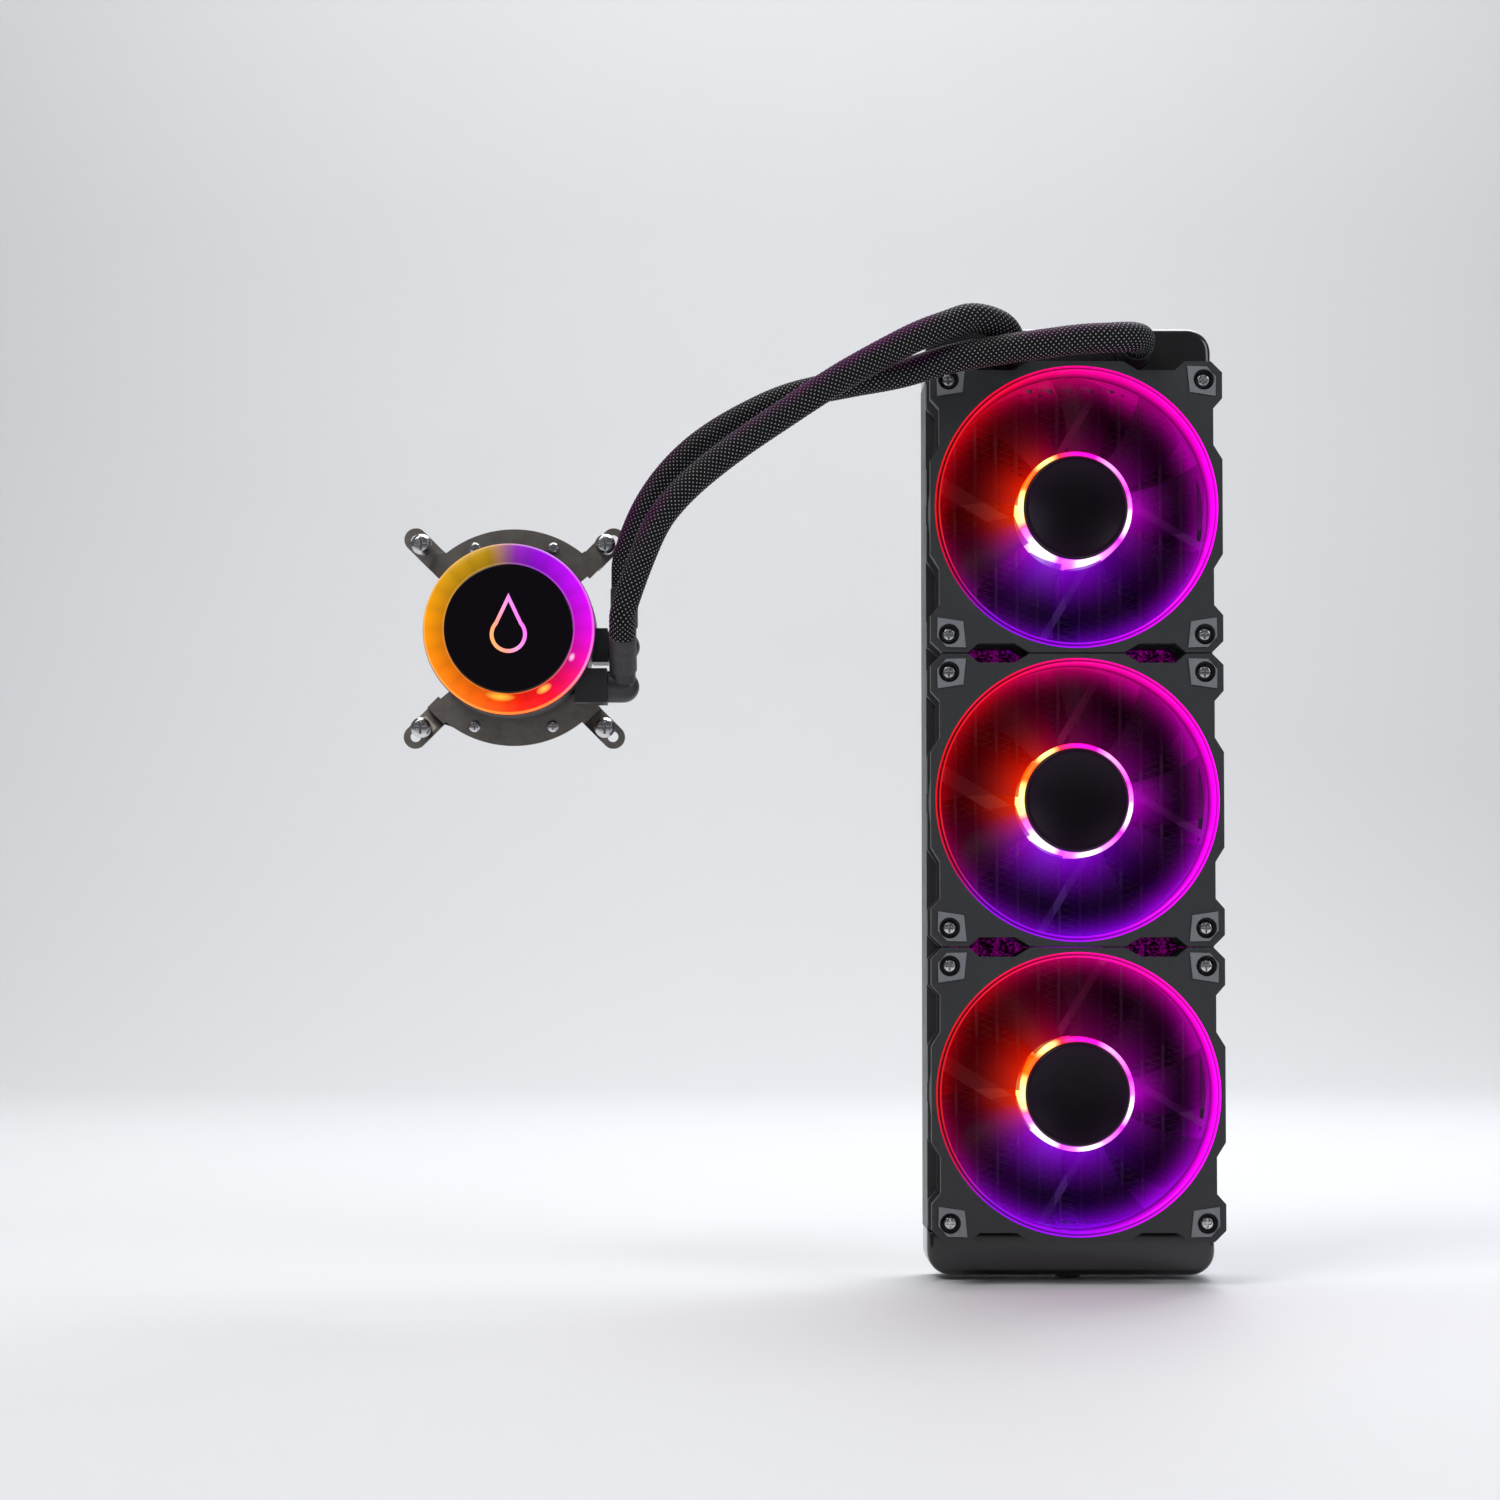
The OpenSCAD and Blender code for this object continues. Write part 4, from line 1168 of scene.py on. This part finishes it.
def dress_inner_pieces():
    """Gives every CAD piece that still shows its finish."""
    for node, shown in frame["nodes"].items():
        material = FINISHES[SLOT_OF[node]]
        if not shown.material_slots:
            shown.data.materials.append(material)
        for place in shown.material_slots:
            place.material = material


# ---- Stage ----

def build_stage():
    scene = bpy.context.scene
    scene.view_settings.view_transform = "Standard"
    camera = bpy.data.objects.new("camera", bpy.data.cameras.new("camera"))
    scene.collection.objects.link(camera)
    camera.location = (-0.1482, -1.172, -0.0659)
    camera.rotation_euler = (math.radians(91.6), 0.0, 0.0)
    camera.data.sensor_width = 36.0
    camera.data.lens = 65.75
    camera.data.shift_x = 0.0229
    camera.data.shift_y = 0.0895
    scene.camera = camera

    world = bpy.data.worlds.new("studio")
    world.use_nodes = True
    background = next(n for n in world.node_tree.nodes if n.type == "BACKGROUND")
    background.inputs[0].default_value = (0.8, 0.82, 0.86, 1.0)
    background.inputs[1].default_value = 0.12
    scene.world = world

    floor_z = CAD_BOX[0][2] - 0.0005
    sweep = [(-4.0, 0.0), (1.6, 0.0)]
    sweep += [(1.6 + 1.2 * math.sin(a), 1.2 - 1.2 * math.cos(a))
              for a in (math.pi / 2 * i / 24 for i in range(1, 25))]
    sweep += [(2.8, 5.0)]
    verts = [(x, y, floor_z + z) for x in (-6.0, 6.0) for y, z in sweep]
    n = len(sweep)
    mesh = bpy.data.meshes.new("floor")
    mesh.from_pydata(verts, [], [(i, n + i, n + i + 1, i + 1) for i in range(n - 1)])
    mesh.shade_smooth()
    floor = bpy.data.objects.new("floor", mesh)
    scene.collection.objects.link(floor)
    pale = Finish("floor_pale", (0.74, 0.75, 0.77), 0.6)
    pale.feed(Roughness=0.5 + 0.2 * pale.noise(6.0, 3.0))
    mesh.materials.append(pale.material)

    target = Vector((-0.11, -0.02, 0.03))
    for name, where, size, power, tint in (
            ("key", (-1.0, -1.1, 1.5), 0.9, 20.0, (1.0, 0.98, 0.95)),
            ("fill", (1.3, -0.9, 0.7), 0.9, 9.0, (0.93, 0.95, 1.0)),
            ("back", (0.4, 0.9, 1.4), 0.9, 14.0, (0.95, 0.97, 1.0)),
            ("wall", (0.0, 0.9, 2.6), 2.4, 60.0, (1.0, 1.0, 1.0))):
        data = bpy.data.lights.new(name, "AREA")
        data.size = size
        data.energy = power
        data.color = tint
        lamp = bpy.data.objects.new(name, data)
        lamp.location = where
        aim = target if name != "wall" else Vector((0.0, 2.6, 0.6))
        lamp.rotation_euler = (aim - Vector(where)).to_track_quat("-Z", "Y").to_euler()
        scene.collection.objects.link(lamp)


# ---- Operators and panel ----

class COOLER_OT_stage(bpy.types.Operator):
    """Set up the camera, the light and the floor"""
    bl_idname = "cooler.stage"
    bl_label = "Stage"

    def execute(self, context):
        build_stage()
        return {"FINISHED"}


class COOLER_OT_finishes(bpy.types.Operator):
    """Make every finish and dress the CAD pieces in them"""
    bl_idname = "cooler.finishes"
    bl_label = "Finishes"

    def execute(self, context):
        all_finishes()
        dress_inner_pieces()
        return {"FINISHED"}


class COOLER_OT_hoses(bpy.types.Operator):
    """Weave both hose sleeves along their routes"""
    bl_idname = "cooler.hoses"
    bl_label = "Hoses"

    def execute(self, context):
        build_hoses()
        return {"FINISHED"}


class COOLER_OT_radiator(bpy.types.Operator):
    """Shape the tanks, folded fins and rails of the radiator"""
    bl_idname = "cooler.radiator"
    bl_label = "Radiator"

    def execute(self, context):
        build_radiator()
        return {"FINISHED"}


class COOLER_OT_fans(bpy.types.Operator):
    """Shape the frames, light rings and rotors of the fans"""
    bl_idname = "cooler.fans"
    bl_label = "Fans"

    def execute(self, context):
        build_fans()
        return {"FINISHED"}


class COOLER_OT_pump_head(bpy.types.Operator):
    """Shape the housing, lit ring, face and elbows of the pump head"""
    bl_idname = "cooler.pump_head"
    bl_label = "Pump head"

    def execute(self, context):
        build_pump_head()
        return {"FINISHED"}


class COOLER_OT_bracket(bpy.types.Operator):
    """Shape the mounting bracket and its springs"""
    bl_idname = "cooler.bracket"
    bl_label = "Bracket"

    def execute(self, context):
        build_bracket()
        return {"FINISHED"}


class COOLER_OT_fasteners(bpy.types.Operator):
    """Shape the screws"""
    bl_idname = "cooler.fasteners"
    bl_label = "Screws"

    def execute(self, context):
        build_fasteners()
        return {"FINISHED"}


STEPS = (
    "stage", "finishes", "hoses", "radiator", "fans", "pump_head", "bracket", "fasteners",
)


class COOLER_PT_panel(bpy.types.Panel):
    """Lists the steps that build the cooler"""
    bl_idname = "COOLER_PT_panel"
    bl_label = "Liquid cooler"
    bl_space_type = "VIEW_3D"
    bl_region_type = "UI"
    bl_category = "Cooler"

    def draw(self, context):
        for step in STEPS:
            self.layout.operator("cooler." + step)


CLASSES = (
    CoolerSizes, CoolerColours, COOLER_OT_stage, COOLER_OT_finishes, COOLER_OT_hoses,
    COOLER_OT_radiator, COOLER_OT_fans, COOLER_OT_pump_head, COOLER_OT_bracket,
    COOLER_OT_fasteners, COOLER_PT_panel,
)


def register():
    for cls in CLASSES:
        bpy.utils.register_class(cls)
    bpy.types.Scene.cooler_sizes = bpy.props.PointerProperty(type=CoolerSizes)
    bpy.types.Scene.cooler_colours = bpy.props.PointerProperty(type=CoolerColours)


def unregister():
    del bpy.types.Scene.cooler_colours
    del bpy.types.Scene.cooler_sizes
    for cls in reversed(CLASSES):
        bpy.utils.unregister_class(cls)


def main():
    register()
    for step in STEPS:
        getattr(bpy.ops.cooler, step)()


if __name__ == "__main__":
    main()
